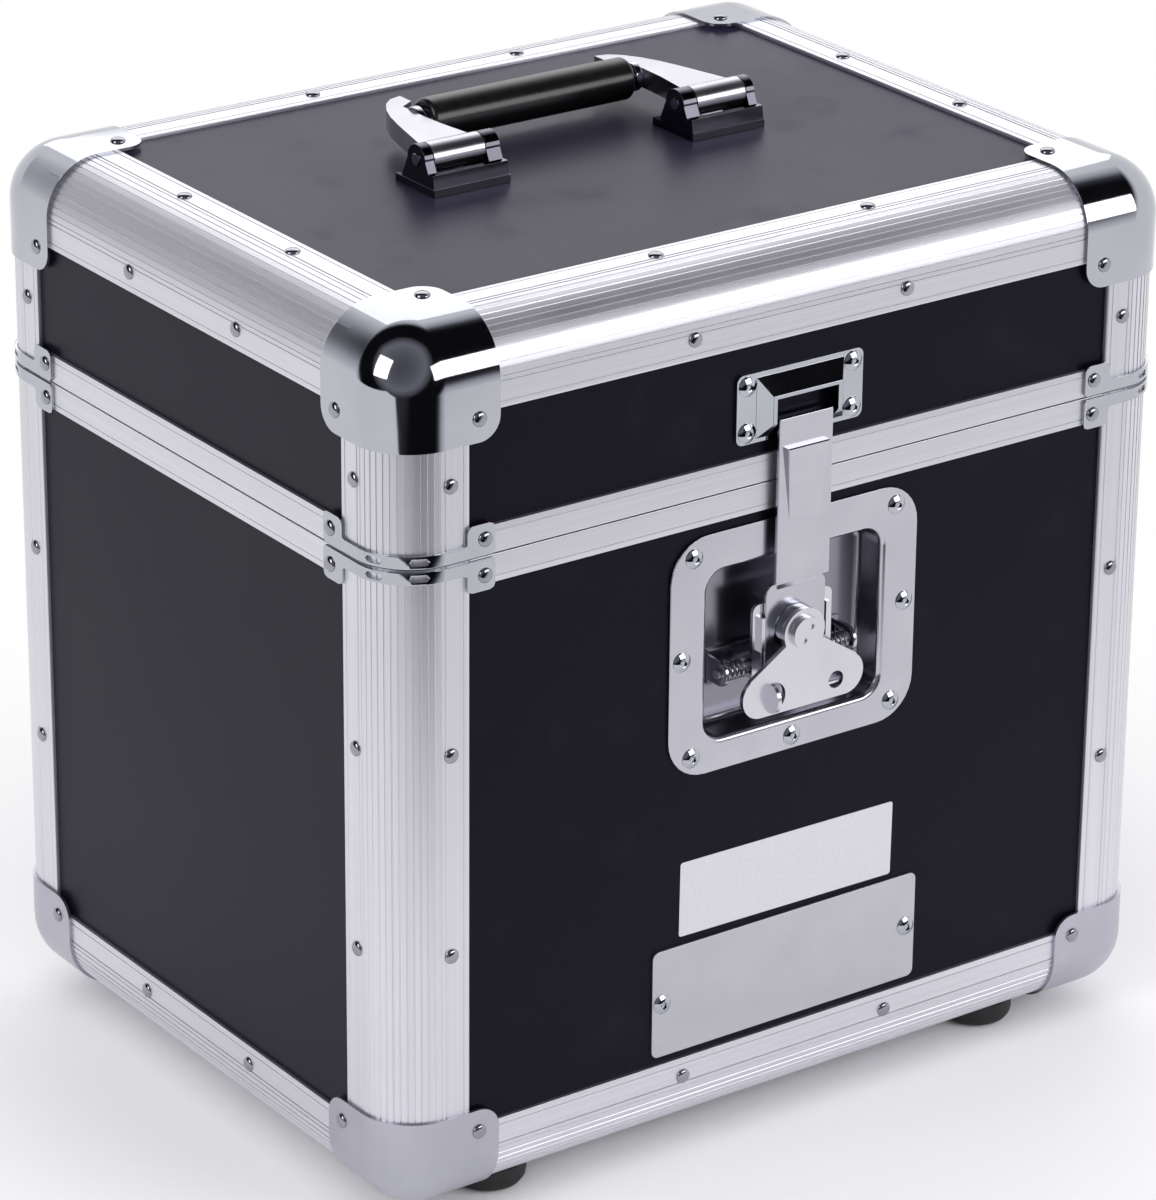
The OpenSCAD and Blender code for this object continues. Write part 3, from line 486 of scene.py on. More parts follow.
def groovedLine(length, at, marks, step):
    # Points along a line of that length, with a small trough at each (place, width, depth) mark.
    points = []
    count = max(2, round(length / step))
    for i in range(count + 1):
        s = length * i / count
        if all(abs(s - mark[0]) > mark[1] * 0.75 for mark in marks):
            points.append((s, 0.0))
    for place, width, depth in marks:
        points += [(place - width / 2, 0), (place - width / 5, depth)]
        points += [(place + width / 5, depth), (place + width / 2, 0)]
    return [at(s, d) for s, d in sorted(points)]


def edgeOutlines():
    # Section of the extrusion with its hollow chamber, as distances in from the case's two faces.
    leg, r, skin = edge["leg"], edge["radius"], edge["skin"]
    lipRound = edge["lipRound"]
    bend = math.pi / 2 * r
    flat = leg - r
    total = 2 * flat + bend

    def at(s, depth):
        if s < flat:
            return (leg - s, depth)
        if s > flat + bend:
            return (depth, r + s - flat - bend)
        a = (s - flat) / r
        return (r - (r - depth) * math.sin(a), r - (r - depth) * math.cos(a))

    marks = [(flat + bend * (i + 0.5) / edge["grooves"], *edge["groove"]) for i in range(edge["grooves"])]
    lip, lipW, lipD = edge["lipGroove"]
    beside = 0.6  # from the end of the round part
    marks += [(flat - beside, *edge["edgeGroove"]), (flat + bend + beside, *edge["edgeGroove"])]
    marks += [(lip, lipW, lipD), (total - lip, lipW, lipD)]
    skinLine = groovedLine(total, at, sorted(marks), edge["facet"])[1:-1]
    start = [(leg, skin), (leg, lipRound), (leg - lipRound * 0.3, lipRound * 0.3), (leg - lipRound, 0)]
    end = [(y, x) for x, y in reversed(start)]
    skinLine = [p for p in skinLine if p[0] < leg - lipRound and p[1] < leg - lipRound]
    low = skin + edge["slot"]
    high = low + edge["flange"]
    webIn, webOut = edge["web"]
    inner = edge["flangeLeg"]
    inside = [
        (skin, webOut), (low, webOut), (low, inner), (high, inner), (high, high), (inner, high), (inner, low),
        (webOut, low), (webOut, skin),
    ]
    chamber = [(webIn, skin)] + arc((r, r), r - skin, *edge["chamberArc"], steps=10)
    chamber += [(skin, webIn), (low, webIn), (low, low), (webIn, low)]
    return [start + skinLine + end + inside, chamber]


def runRound(name, outlines, z, up):
    # One section run round the case at height z: the front, the back, and both sides as one piece.
    lengthX = halfW - edge["leg"] - edge["endGap"]
    lengthY = halfD - edge["leg"] - edge["endGap"]
    for side, sy in (("front", -1), ("back", 1)):
        node = f"{name}_{side}"
        makePiece(node + "_trim", plate(outlines, -lengthX, lengthX, alongX(sy, z, up)), aluminium[0], node)
    sides = [plate(outlines, -lengthY, lengthY, alongY(sx, z, up)) for sx in (-1, 1)]
    makePiece(name + "s_side_trim", merged(sides), aluminium[1], name + "s_side")


def makeExtrusions():
    outlines = edgeOutlines()
    leg = edge["leg"]
    runRound("bottom_edge", outlines, bottomZ, 1)
    runRound("top_edge", outlines, topZ, -1)
    heights = {"base": (bottomZ + leg, seamZ - seamGap / 2), "lid": (seamZ + seamGap / 2, topZ - leg)}
    for part, (low, high) in heights.items():
        for depth, sy in (("front", -1), ("back", 1)):
            for side, sx in (("left", -1), ("right", 1)):
                bm = plate(outlines, low, high, alongZ(sx, sy))
                node = f"{part}_upright_{depth}_{side}"
                makePiece(node + "_trim", bm, aluminium[2], node)


makeExtrusions()


# Rims at the seam.

rim = {
    "height": 11.0,
    "tongue": (3.6, 5.6, 2.4),  # its two faces behind the front, and its height over the seam
    "tongueRound": 0.3,
    "room": 0.8,  # round the tongue in the lid's groove
    "roof": 1.0,  # over the tongue
    "groove": (2.5, 0.5, 0.22),  # distance from the rim's end, width and depth
    "round": 0.35,
}


def rimOutline(isLid):
    # Section of a rim: distance in from the face, and from the seam's middle.
    half = seamGap / 2
    tip = half + rim["height"]
    skin, flange = edge["skin"], edge["flange"]
    low = skin + edge["slot"]
    high = low + flange
    place, width, depth = rim["groove"]
    r = rim["round"]
    face = groovedLine(rim["height"], lambda s, d: (d, tip - s), [(place, width, depth)], 4.0)[1:-1]
    face = [(skin, tip), (r, tip), (r * 0.3, tip - r * 0.3)] + face
    face += [(0, half + r), (r * 0.3, half + r * 0.3), (r, half)]
    tongueIn, tongueOut, tongueH = rim["tongue"]
    if isLid:
        grooveIn, grooveOut = tongueIn - rim["room"], tongueOut + rim["room"]
        roof = half + tongueH + rim["roof"]
        inside = [
            (grooveIn, half), (grooveIn, roof), (grooveOut, roof), (grooveOut, half), (high, half),
            (high, tip), (low, tip), (low, half + skin), (grooveOut + flange, half + skin),
            (grooveOut + flange, roof + flange), (skin, roof + flange),
        ]
        return [face + inside]
    top = half - tongueH
    c = rim["tongueRound"]
    inside = [
        (tongueIn, half), (tongueIn, top + c), (tongueIn + c, top), (tongueOut - c, top),
        (tongueOut, top + c), (tongueOut, half), (high, half), (high, tip), (low, tip), (low, half + skin),
        (skin, half + skin),
    ]
    return [face + inside]


runRound("base_rim", rimOutline(False), seamZ, -1)
runRound("lid_rim", rimOutline(True), seamZ, 1)
print("extrusions made")


# Ball corners.

ball = {
    "sheet": 1.2,
    "reachX": 45.5,
    "reachY": 44.0,
    "reachTop": 43.5,
    "reachBottom": 40.0,
    "tab": 9.0,  # radius of the tabs' corners
    "steps": 7,
    "tabSteps": 8,
    "rim": 0.4,
}


def joinedSheet(bm):
    # Joins a corner's faces into one sheet whose normals point away from the case.
    bmesh.ops.remove_doubles(bm, verts=bm.verts, dist=0.01)
    bmesh.ops.dissolve_degenerate(bm, edges=bm.edges, dist=0.005)
    bmesh.ops.recalc_face_normals(bm, faces=bm.faces)
    tip = min(bm.faces, key=lambda f: f.calc_center_median().length)
    if tip.normal.dot(Vector((1, 1, 1))) > 0:
        bmesh.ops.reverse_faces(bm, faces=bm.faces)
    return bm


def pressedSheet(reach):
    # The case's rounded outer corner at the origin as a sheet, its three tabs reaching along x, y and z.
    r, tab = edge["radius"], ball["tab"]
    steps, tabSteps = ball["steps"], ball["tabSteps"]
    bm = bmesh.new()
    roundPart = [r - r * math.tan(math.radians(45 * (1 - i / steps))) for i in range(steps + 1)]
    for first, second, third in ((0, 1, 2), (0, 2, 1), (1, 2, 0)):
        farA, farB = reach[first], reach[second]
        columns = [(a, farB) for a in roundPart]
        for j in range(tabSteps + 1):
            turn = math.radians(90 * j / tabSteps)
            columns.append((farA - tab + tab * math.sin(turn), farB - tab + tab * math.cos(turn)))
        grid = []
        for a, limit in columns:
            rows = roundPart + [farB - tab + (limit - farB + tab) * j / tabSteps for j in range(tabSteps + 1)]
            line = []
            for b in rows:
                point, centre = [0.0] * 3, [0.0] * 3
                point[first], point[second], point[third] = a, b, 0.0
                centre[first], centre[second], centre[third] = max(a, r), max(b, r), r
                away = Vector(point) - Vector(centre)
                line.append(bm.verts.new(Vector(centre) + away.normalized() * r))
            grid.append(line)
        for left, right in zip(grid, grid[1:]):
            for low, high in zip(range(len(left) - 1), range(1, len(left))):
                bm.faces.new((left[low], right[low], right[high], left[high]))
    return joinedSheet(bm)


def thickened(bm, thickness, cutRound):
    # Gives a sheet its thickness on the side its normals point to, and rounds its cut edge.
    holder = placed("helper", meshOf(bm, "sheet"))
    solid = holder.modifiers.new("solid", "SOLIDIFY")
    solid.thickness = thickness
    solid.offset = 1.0
    solid.use_even_offset = True
    return bevelled(holder, cutRound, 2, 55)


def makeBallCorners():
    across = (ball["reachX"], ball["reachY"])
    lower = thickened(pressedSheet((*across, ball["reachBottom"])), ball["sheet"], ball["rim"])
    moved(lower, Matrix.Translation((-halfW, -halfD, bottomZ)))
    makePiece("bottom_ball_corners", atCorners(lower), nickel, "ball_corners_bottom")
    upper = thickened(pressedSheet((*across, ball["reachTop"])), ball["sheet"], ball["rim"])
    moved(upper, Matrix.Translation((-halfW, -halfD, topZ)) @ Matrix.Diagonal((1, 1, -1, 1)))
    makePiece("top_ball_corners", atCorners(upper), chrome, "ball_corners_top")


makeBallCorners()


# Rim braces.

brace = {
    "band": (0.6, 5.6),  # heights of its lower and upper edge, from the seam
    "tab": (31.0, 43.5),  # where it starts and ends, from the corner
    "tabHeight": 12.4,
    "tabRound": 2.5,
    "fillet": (1.5, 0.6),  # between band and tab
    "chamfer": 1.2,
    "slot": (7.0, 2.1),
    "slotAt": (8.5, 25.0),  # distances of the slots' middles round the corner
    "bendSteps": 14,
    "rim": 0.3,
}


def braceSheet():
    # A strip flattened as (distance round the corner, height), with two slots, then bent round the corner.
    r = edge["radius"]
    bend = math.pi / 2 * r
    low, high = brace["band"]
    tabStart, tabEnd = (at - r for at in brace["tab"])
    mid = (low + high) / 2
    slotL, slotH = brace["slot"]
    stops = {0.0, bend}
    for centre in brace["slotAt"]:
        for end in (slotL / 2, slotL / 2 - slotH / 2):
            stops |= {centre - end, centre + end}
    stops |= {bend * i / brace["bendSteps"] for i in range(brace["bendSteps"] + 1)}
    kept = sorted(stops)
    top = brace["tabHeight"] + low
    tabR = brace["tabRound"]
    cut = tabR * 0.28  # where the middle of a rounded corner lies
    filletS, filletZ = brace["fillet"]
    chamfer = brace["chamfer"]
    tail = [(tabStart - filletS, high), (tabStart, high + filletZ), (tabStart, top - tabR)]
    tail += [(tabStart + cut, top - cut), (tabStart + tabR, top), (tabEnd - tabR, top)]
    tail += [(tabEnd - cut, top - cut), (tabEnd, top - tabR)]
    tail += [(tabEnd, low + chamfer), (tabEnd - chamfer, low)]
    bm = bmesh.new()

    def fold(s, z):
        if s < 0:
            return Vector((0, r - s, z))
        if s > bend:
            return Vector((r + s - bend, 0, z))
        a = s / r
        return Vector((r - r * math.cos(a), r - r * math.sin(a), z))

    def slotHalf(s):
        for centre in brace["slotAt"]:
            inside = slotL / 2 - abs(s - centre)
            if inside >= slotH / 2:
                return slotH / 2
            if inside >= -1e-6:
                return math.sqrt(max(0.0, slotH * inside - inside * inside))
        return None

    for s0, s1 in zip(kept, kept[1:]):
        if s1 - s0 < 1e-6:
            continue
        h0, h1 = slotHalf(s0), slotHalf(s1)
        middle = slotHalf((s0 + s1) / 2)
        if middle is None:
            rows = [((low, low), (mid, mid)), ((mid, mid), (high, high))]
        else:
            rows = [((low, low), (mid - h0, mid - h1)), ((mid + h0, mid + h1), (high, high))]
        for (a0, a1), (b0, b1) in rows:
            corners = [fold(s0, a0), fold(s1, a1), fold(s1, b1), fold(s0, b0)]
            bm.faces.new([bm.verts.new(p) for p in corners])
    for side in (0, 1):
        outline = [(0.0, low), (0.0, mid), (0.0, high)] + tail
        points = [fold(-s if side else bend + s, z) for s, z in outline]
        bm.faces.new([bm.verts.new(p) for p in points])
    return joinedSheet(bm)


def makeBraces():
    for part, up in (("base", -1), ("lid", 1)):
        bm = thickened(braceSheet(), ball["sheet"], brace["rim"])
        moved(bm, Matrix.Translation((-halfW, -halfD, seamZ)) @ Matrix.Diagonal((1, 1, up, 1)))
        makePiece(part + "_rim_braces", atCorners(bm), chrome, "rim_braces_" + part)


makeBraces()
print("corners made")


# Rivets.

rivet = {
    "segments": 14,
    # Radius and height of the profiles' points, as shares of the head's radius and height
    "solid": [(0, 0), (1, 0), (1, 0.2), (0.93, 0.48), (0.76, 0.76), (0.45, 0.94), (0, 1)],
    "blind": [
        (0, 0), (1, 0), (1, 0.2), (0.86, 0.5), (0.6, 0.85), (0.42, 1), (0.33, 0.9), (0.31, 0.3), (0.26, 0.3),
        (0.2, 0.62), (0, 0.66),
    ],
}


def headsTree():
    # Sets a head on every point, turned so that its axis follows the point's "facing".
    tree = bpy.data.node_groups.new("headsOnPoints", "GeometryNodeTree")
    for name, kind in (("Points", "Geometry"), ("Head", "Object"), ("Material", "Material")):
        tree.interface.new_socket(name, in_out="INPUT", socket_type="NodeSocket" + kind)
    tree.interface.new_socket("Heads", in_out="OUTPUT", socket_type="NodeSocketGeometry")
    given = addNode(tree, "NodeGroupInput").outputs
    head = addNode(tree, "GeometryNodeObjectInfo", {"Object": given["Head"]})
    facing = addNode(tree, "GeometryNodeInputNamedAttribute", {
        "Name": "facing",
    }, {"data_type": "FLOAT_VECTOR"})
    turn = addNode(tree, "FunctionNodeAlignRotationToVector", {
        "Vector": facing.outputs["Attribute"],
    }, {"axis": "Z"})
    spread = addNode(tree, "GeometryNodeInstanceOnPoints", {
        "Points": given["Points"], "Instance": head.outputs["Geometry"], "Rotation": turn,
    })
    real = addNode(tree, "GeometryNodeRealizeInstances", {"Geometry": spread})
    painted = addNode(tree, "GeometryNodeSetMaterial", {"Geometry": real, "Material": given["Material"]})
    addNode(tree, "NodeGroupOutput", {"Heads": painted})
    return tree


def coilTree():
    # A helical spring along Z from wire of a given radius.
    tree = bpy.data.node_groups.new("coilSpring", "GeometryNodeTree")
    for name in ("Turns", "Radius", "Height", "Wire"):
        tree.interface.new_socket(name, in_out="INPUT", socket_type="NodeSocketFloat")
    tree.interface.new_socket("Material", in_out="INPUT", socket_type="NodeSocketMaterial")
    tree.interface.new_socket("Spring", in_out="OUTPUT", socket_type="NodeSocketGeometry")
    given = addNode(tree, "NodeGroupInput").outputs
    spiral = addNode(tree, "GeometryNodeCurveSpiral", {
        "Resolution": 20, "Rotations": given["Turns"], "Height": given["Height"],
        "Start Radius": given["Radius"], "End Radius": given["Radius"],
    })
    section = addNode(tree, "GeometryNodeCurvePrimitiveCircle", {"Resolution": 8, "Radius": given["Wire"]})
    swept = addNode(tree, "GeometryNodeCurveToMesh", {
        "Curve": spiral, "Profile Curve": section, "Fill Caps": True,
    })
    real = addNode(tree, "GeometryNodeRealizeInstances", {"Geometry": swept})
    painted = addNode(tree, "GeometryNodeSetMaterial", {"Geometry": real, "Material": given["Material"]})
    addNode(tree, "NodeGroupOutput", {"Spring": painted})
    return tree


def grown(tree, base, values):
    # Runs a Geometry Nodes tree on a mesh once and gives the result back as a plain shape.
    holder = placed("helper", base)
    modifier = holder.modifiers.new("nodes", "NODES")
    modifier.node_group = tree
    for item in tree.interface.items_tree:
        if item.in_out == "INPUT" and item.name in values:
            modifier[item.identifier] = values[item.name]
    return shapeOf(holder)


def solidsOf(node):
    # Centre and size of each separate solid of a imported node, in millimetres.
    bm = bmesh.new()
    bm.from_mesh(frame["nodes"][node].data)
    bmesh.ops.remove_doubles(bm, verts=bm.verts, dist=0.00001)
    left, boxes = set(bm.verts), []
    while left:
        reached = [left.pop()]
        for v in reached:
            near = {e.other_vert(v) for e in v.link_edges} & left
            left -= near
            reached += near
        low = Vector([min(v.co[i] for v in reached) for i in range(3)]) / mm
        high = Vector([max(v.co[i] for v in reached) for i in range(3)]) / mm
        boxes.append(((low + high) / 2, high - low))
    bm.free()
    return sorted(boxes, key=lambda box: tuple(round(c, 1) for c in box[0]))


def makeHeads(node, kind, material, tree):
    middle = Vector((0, 0, (bottomZ + topZ) / 2))
    boxes = solidsOf(node)
    sizes = sorted(boxes[0][1])
    shape = lathe([(r * sizes[2] / 2, h * sizes[0]) for r, h in rivet[kind]], rivet["segments"])
    bmesh.ops.recalc_face_normals(shape, faces=shape.faces)
    head = placed("head", meshOf(shape, "head"))
    places, facings = [], []
    for centre, size in boxes:
        axis = min(range(3), key=lambda i: size[i])
        facing = Vector((0, 0, 0))
        facing[axis] = 1 if centre[axis] > middle[axis] else -1
        places.append(centre - facing * size[axis] / 2)
        facings.append(facing)
    points = bpy.data.meshes.new("points")
    points.from_pydata(places, [], [])
    spread = points.attributes.new("facing", "FLOAT_VECTOR", "POINT")
    for i, facing in enumerate(facings):
        spread.data[i].vector = facing
    bm = grown(tree, points, {"Head": head, "Material": material})
    bpy.data.batch_remove([head, head.data])
    makePiece(node + "_heads", bm, material, node)


heads = headsTree()
for part in ("base", "lid"):
    makeHeads("rivets_" + part, "solid", rivetChromePaintedShade, heads)
    makeHeads("blind_rivets_" + part, "blind", chrome, heads)
print("rivets made")


# Latch.

latch = {
    "flange": (116, 97, 17, 199),  # width, height, corner radius, centre above the case's bottom
    "flangeRound": 0.25,
    "mouth": (82, 68.4, 8, 197.7),  # likewise
    "sheet": 1.2,
    "deep": 14.0,  # the floor's face, behind the extrusions' face
    "backU": -1.6,  # back of the flange, out from the extrusions' face
    # Growth of the mouth's outline, with depth under the flange's face or height over the floor
    "mouthRound": [(2.2, 0), (1.3, -0.2), (0.5, -0.75), (0.1, -1.6), (0, -2.4)],
    "floorRound": [(-0.6, 2.4), (-1.1, 1.1), (-2.2, 0.25), (-3.6, 0)],
    "backRound": [(-3.6, -1.2), (-0.6, -0.72), (0.72, 1.4)],
    "pinU": -6.0,
    "pinZ": 187.0,
    "coil": {"from": 20.4, "length": 8.6, "turns": 8.0, "radius": 3.1, "wire": 0.5, "legGap": 0.4},
}


def onOutline(w, h, r, z, u):
    # A rounded rectangle facing the front, u out from the extrusions' face.
    return [onFront(x, y, u) for x, y in roundedRect(w, h, max(r, 0.5), (0, z))]


def lofted(loops):
    # Closed loops of equally many points joined one to the next, with a face at each end.
    bm = bmesh.new()
    rings = [[bm.verts.new(p) for p in loop] for loop in loops]
    for low, high in zip(rings, rings[1:]):
        for i in range(len(low)):
            j = (i + 1) % len(low)
            bm.faces.new((low[i], low[j], high[j], high[i]))
    bm.faces.new(rings[0])
    bm.faces.new(rings[-1])
    return bm


hook = {
    "strap": (25.0, 221.7, 288.0),  # width, lower and upper end above the case's bottom
    "strapU": (2.4, 3.9),  # its back and front, out from the extrusions' face
    "yoke": (28.0, 184.0, 220.4),
    "yokeU": (-1.5, 0.0),
    "yokeRound": 4.0,
    "lipU": (0.1, 3.5),  # back and front of the strap's bent end
    "lipHeight": 1.5,
    "corners": (0.8, 0.3),  # radius of the strap's corners and of the bent end's
    "cutRound": 0.25,
    "window": (20.2, 14.1, 198.0),  # width, height and height above the bottom of the eccentric's window
    "ramp": (247.0, 276.5, 7.0, 9.6, 2.3),  # lower and upper end, half widths there, height at the upper end
    "rampEdge": (0.5, 0.4),  # width of the chamfer round its foot and sides, and of the one at its tip
    "neck": (9.0, 217.5, 226.0),  # half width, lower and upper end
    "neckU": ((-1.4, 1.4), (-0.2, 2.6)),  # back and front of the joggle, at its lower and upper end
}


def makeHook():
    w, low, high = hook["strap"]
    back, front = hook["strapU"]
    cut, lipH = hook["cutRound"], hook["lipHeight"]
    strapR, lipR = hook["corners"]
    strap = plate([roundedRect(w, high - low, strapR, (0, (low + high) / 2))], back, front, onFront, cut)
    lip = plate([roundedRect(w, lipH, lipR, (0, high - lipH / 2))], *hook["lipU"], onFront)
    yokeW, yokeLow, yokeHigh = hook["yoke"]
    windowW, windowH, windowZ = hook["window"]
    yoke = plate([
        roundedRect(yokeW, yokeHigh - yokeLow, hook["yokeRound"], (0, (yokeLow + yokeHigh) / 2)),
        roundedRect(windowW, windowH, windowH / 2 - 0.01, (0, windowZ)),
    ], *hook["yokeU"], onFront, cut)
    # The strap is joggled back to the yoke behind its lower end
    half, neckLow, neckHigh = hook["neck"]
    neck = []
    for lowU, highU in hook["neckU"]:
        lower = [(-half, neckLow, lowU), (half, neckLow, lowU)]
        upper = [(half, neckHigh, highU), (-half, neckHigh, highU)]
        neck.append([onFront(*corner) for corner in lower + upper])
    # The tongue starts just inside the strap, is raised out of it and widens up to its tip
    foot, tip, footHalf, tipHalf, rise = hook["ramp"]
    inset, tipInset = hook["rampEdge"]

    def rampLoop(narrower, shorter, footU, tipU):
        bottom, top = foot + narrower, tip - shorter
        footX, tipX = footHalf - narrower, tipHalf - narrower
        corners = [(-footX, bottom, footU), (footX, bottom, footU), (tipX, top, tipU), (-tipX, top, tipU)]
        return [onFront(*corner) for corner in corners]

    ramp = lofted([
        rampLoop(0, 0, front - 0.1, front - 0.1),
        rampLoop(0, 0, front, front + rise * 0.8),
        rampLoop(inset, tipInset, front + 0.03, front + rise),
    ])
    bm = merged([strap, lip, yoke, lofted(neck), ramp])
    makePiece("stamped_hook", bm, strapZinc, "latch_hook", weld=0.00005)


def makeDish():
    # From the back of the floor out over the flange and down to the floor's face.
    w, h, r, z = latch["mouth"]
    fw, fh, fr, fz = latch["flange"]
    back, cut = latch["backU"], latch["flangeRound"]
    front = back + latch["sheet"]
    bottom = -latch["deep"]
    outer = [(g, bottom + up) for g, up in latch["backRound"]] + [(latch["sheet"], back - 0.2)]
    flange = [(-cut, back), (0, back + cut), (0, front - cut), (-cut, front)]
    inner = [(g, front + down) for g, down in latch["mouthRound"]]
    inner += [(g, bottom + up) for g, up in latch["floorRound"]]
    loops = [onOutline(w + 2 * g, h + 2 * g, r + g, z, u) for g, u in outer]
    loops += [onOutline(fw + 2 * g, fh + 2 * g, fr + g, fz, u) for g, u in flange]
    loops += [onOutline(w + 2 * g, h + 2 * g, r + g, z, u) for g, u in inner]
    makePiece("pressed_latch_dish", lofted(loops), dishZincPaintedShade, "latch_dish", angle=48)


def makeSprings():
    coil = latch["coil"]
    bm = grown(coilTree(), bpy.data.meshes.new("base"), {
        "Turns": coil["turns"], "Radius": coil["radius"], "Height": coil["length"], "Wire": coil["wire"],
        "Material": wireSteel,
    })
    # A leg runs back to the dish's floor
    toFloor = latch["deep"] + latch["pinU"]
    leg = rod(coil["wire"], toFloor - coil["legGap"], 0.15, segments=8)
    moved(leg, Matrix.Rotation(math.radians(90), 4, "Y"))
    moved(leg, Matrix.Translation((-toFloor / 2, coil["radius"], coil["length"])))
    bm = merged([bm, leg])
    # Z runs along the pin, X outward from the front
    turn = Matrix(((0, 0, 1, 0), (-1, 0, 0, 0), (0, 1, 0, 0), (0, 0, 0, 1)))
    moved(bm, Matrix.Translation(onFront(coil["from"], latch["pinZ"], latch["pinU"])) @ turn)
    makePiece("wound_springs", mirroredX(bm), wireSteel, "latch_springs", angle=40)


makeDish()
makeSprings()
soften({
    "bent_saddle": ("latch_saddle", 0.3, dishZincPaintedShade),
    "turned_swing_pin": ("latch_swing_pin", 0.3, nickel),
    "bent_carrier": ("latch_carrier", 0.3, zinc),
})
makeHook()
soften({
    "stamped_wing": ("latch_wing", 0.4, zinc),
    "turned_cam": ("latch_cam", 0.35, chrome),
    "spindle_rivet": ("latch_spindle", 0.3, zinc),
    "pressed_keeper": ("latch_keeper", 0.1, chrome),
})
print("latch made")


# Handle.

grip = {
    "length": 95.0,
    "radius": 8.5,
    "bore": 4.2,
    "round": 1.6,
    "recess": 0.2,  # depth of the end faces inside the bore
}


def makeGrip():
    half, bore, rounding = grip["length"] / 2, grip["bore"], grip["round"]
    floor = half - grip["recess"]
    lower = [(0, -floor), (bore, -floor), (bore, -half)]
    lower += arc((grip["radius"] - rounding, -half + rounding), rounding, -90, 0, steps=6)
    middle = (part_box("handle_grip")[0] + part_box("handle_grip")[1]) / 2 / mm
    bm = lathe(lower + [(x, -z) for x, z in reversed(lower)], segments=48)
    moved(bm, Matrix.Translation(middle) @ Matrix.Rotation(math.radians(90), 4, "Y"))
    makePiece("moulded_grip", bm, gripPvc, "handle_grip")


makeGrip()
soften({
    "cast_handle_arms": ("handle_arms", 1.2, castAlloy),
    "handle_core_rod": ("handle_core", 0.4, chrome),
    "cast_handle_brackets": ("handle_brackets", 0.6, shadedChrome),
    "handle_pivot_pins": ("handle_pins", 0.4, chrome),
})
print("handle made")


# Hinges, feet, foam, nameplate and label.

foot = {
    # Radius and height over the ground, from the top round to the floor of the recess
    "profile": [
        (0, 10), (15, 10), (15, 5.2), (14.6, 3.2), (13.2, 1.2), (11.4, 0.25), (9.5, 0), (5.8, 0), (5.2, 0.4),
        (5, 1), (5, 4.6), (0, 4.6),
    ],
    "screw": [(0, 4.6), (4.6, 4.6), (4.6, 4.2), (3.6, 3.0), (2.2, 2.5), (1.6, 2.45), (1.5, 3.4), (0, 3.4)],
}


def makeFeet():
    rubbers, screws = [], []
    for centre, _ in solidsOf("feet"):
        at = Matrix.Translation((centre.x, centre.y, 0))
        rubbers.append(moved(lathe(foot["profile"], segments=40), at))
        screws.append(moved(lathe(foot["screw"], segments=20), at))
    makePiece("moulded_feet", merged(rubbers), rubber, "feet")
    makePiece("foot_screws", merged(screws), rivetChromePaintedShade, "feet", hides=False)


pad = {
    "corner": 6.0,
    "round": [(-1.4, 0), (-0.5, 0.35), (0, 1.2)],  # growth of the outline and distance from the end face
}


def makePad(node):
    low, high = (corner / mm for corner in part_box(node))
    w, d = high.x - low.x, high.y - low.y
    levels = [(g, low.z + z) for g, z in pad["round"]] + [(g, high.z - z) for g, z in reversed(pad["round"])]
    loops = []
    for g, z in levels:
        outline = roundedRect(w + 2 * g, d + 2 * g, pad["corner"] + g)
        loops.append([Vector((x, y, z)) for x, y in outline])
    obj = makePiece(node + "_pad", lofted(loops), foam, node, angle=60)


nameplate = {
    "corner": 3.0,
    "cutRound": 0.2,
}
label = {
    "size": (102.0, 31.0),
    "corner": 1.2,
    "centre": (0.3, 99.2),
    "tilt": -0.6,  # degrees, as it was stuck on
    "face": -1.57,  # just off the panel's face
    "thickness": 0.06,
}


def makePlates():
    low, high = (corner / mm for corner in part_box("nameplate"))
    centre = (0, (low.z + high.z) / 2 - bottomZ)
    outline = roundedRect(high.x - low.x, high.z - low.z, nameplate["corner"], centre)
    bm = plate([outline], -high.y - halfD, -low.y - halfD, onFront, nameplate["cutRound"])
    makePiece("blank_nameplate", bm, plateAluminium, "nameplate")
    turn = Matrix.Rotation(math.radians(label["tilt"]), 2)
    outline = roundedRect(*label["size"], label["corner"])
    corners = [turn @ Vector(p) + Vector(label["centre"]) for p in outline]
    bm = plate([corners], label["face"] - label["thickness"], label["face"], onFront)
    makePiece("blank_label", bm, paper, "nameplate", hides=False, weld=0.0001)


soften({
    "hinge_leaves_lower": ("hinge_leaves_base", 0.3, nickel),
    "hinge_leaves_upper": ("hinge_leaves_lid", 0.3, nickel),
    "hinge_pin_rods": ("hinge_pins", 0.3, nickel),
})
makeFeet()
makePad("base_foam")
makePad("lid_foam")
makePlates()
print("small parts made")


# Floor, world and lights.

light = {
    "world": 0.9,
    "white": (0.2, 0.58),  # distances from the case between which the floor turns into the white backdrop
    "floorColour": "#f6f6f8",
    "floor": ((-1.8, -0.62), (1.8, 4.0)),
    "darkSide": (-0.62, -0.55, 0.56),  # where metal sees black cloth
    # What metal sees by how nearly it looks there: 1 is straight at it
    "sides": [
        (-0.1, "#ffffff"), (0.02, "#c4c4ca"), (0.1, "#46464c"), (0.16, "#0c0c10"), (0.55, "#0c0c10"),
        (0.75, "#85858c"), (1.0, "#606068"),
    ],
    "aim": (0, 0, 0.2),
    # Place, size and watts of the lamps
    "softboxes": {
        "backSoftbox": ((0.9, 1.5, 1.5), (1.8, 1.2), 7),
        "leftSoftbox": ((-2.0, -0.2, 1.2), (1.0, 1.2), 14),
        "frontSoftbox": ((1.0, -2.0, 1.0), (1.6, 1.0), 18),
    },
}


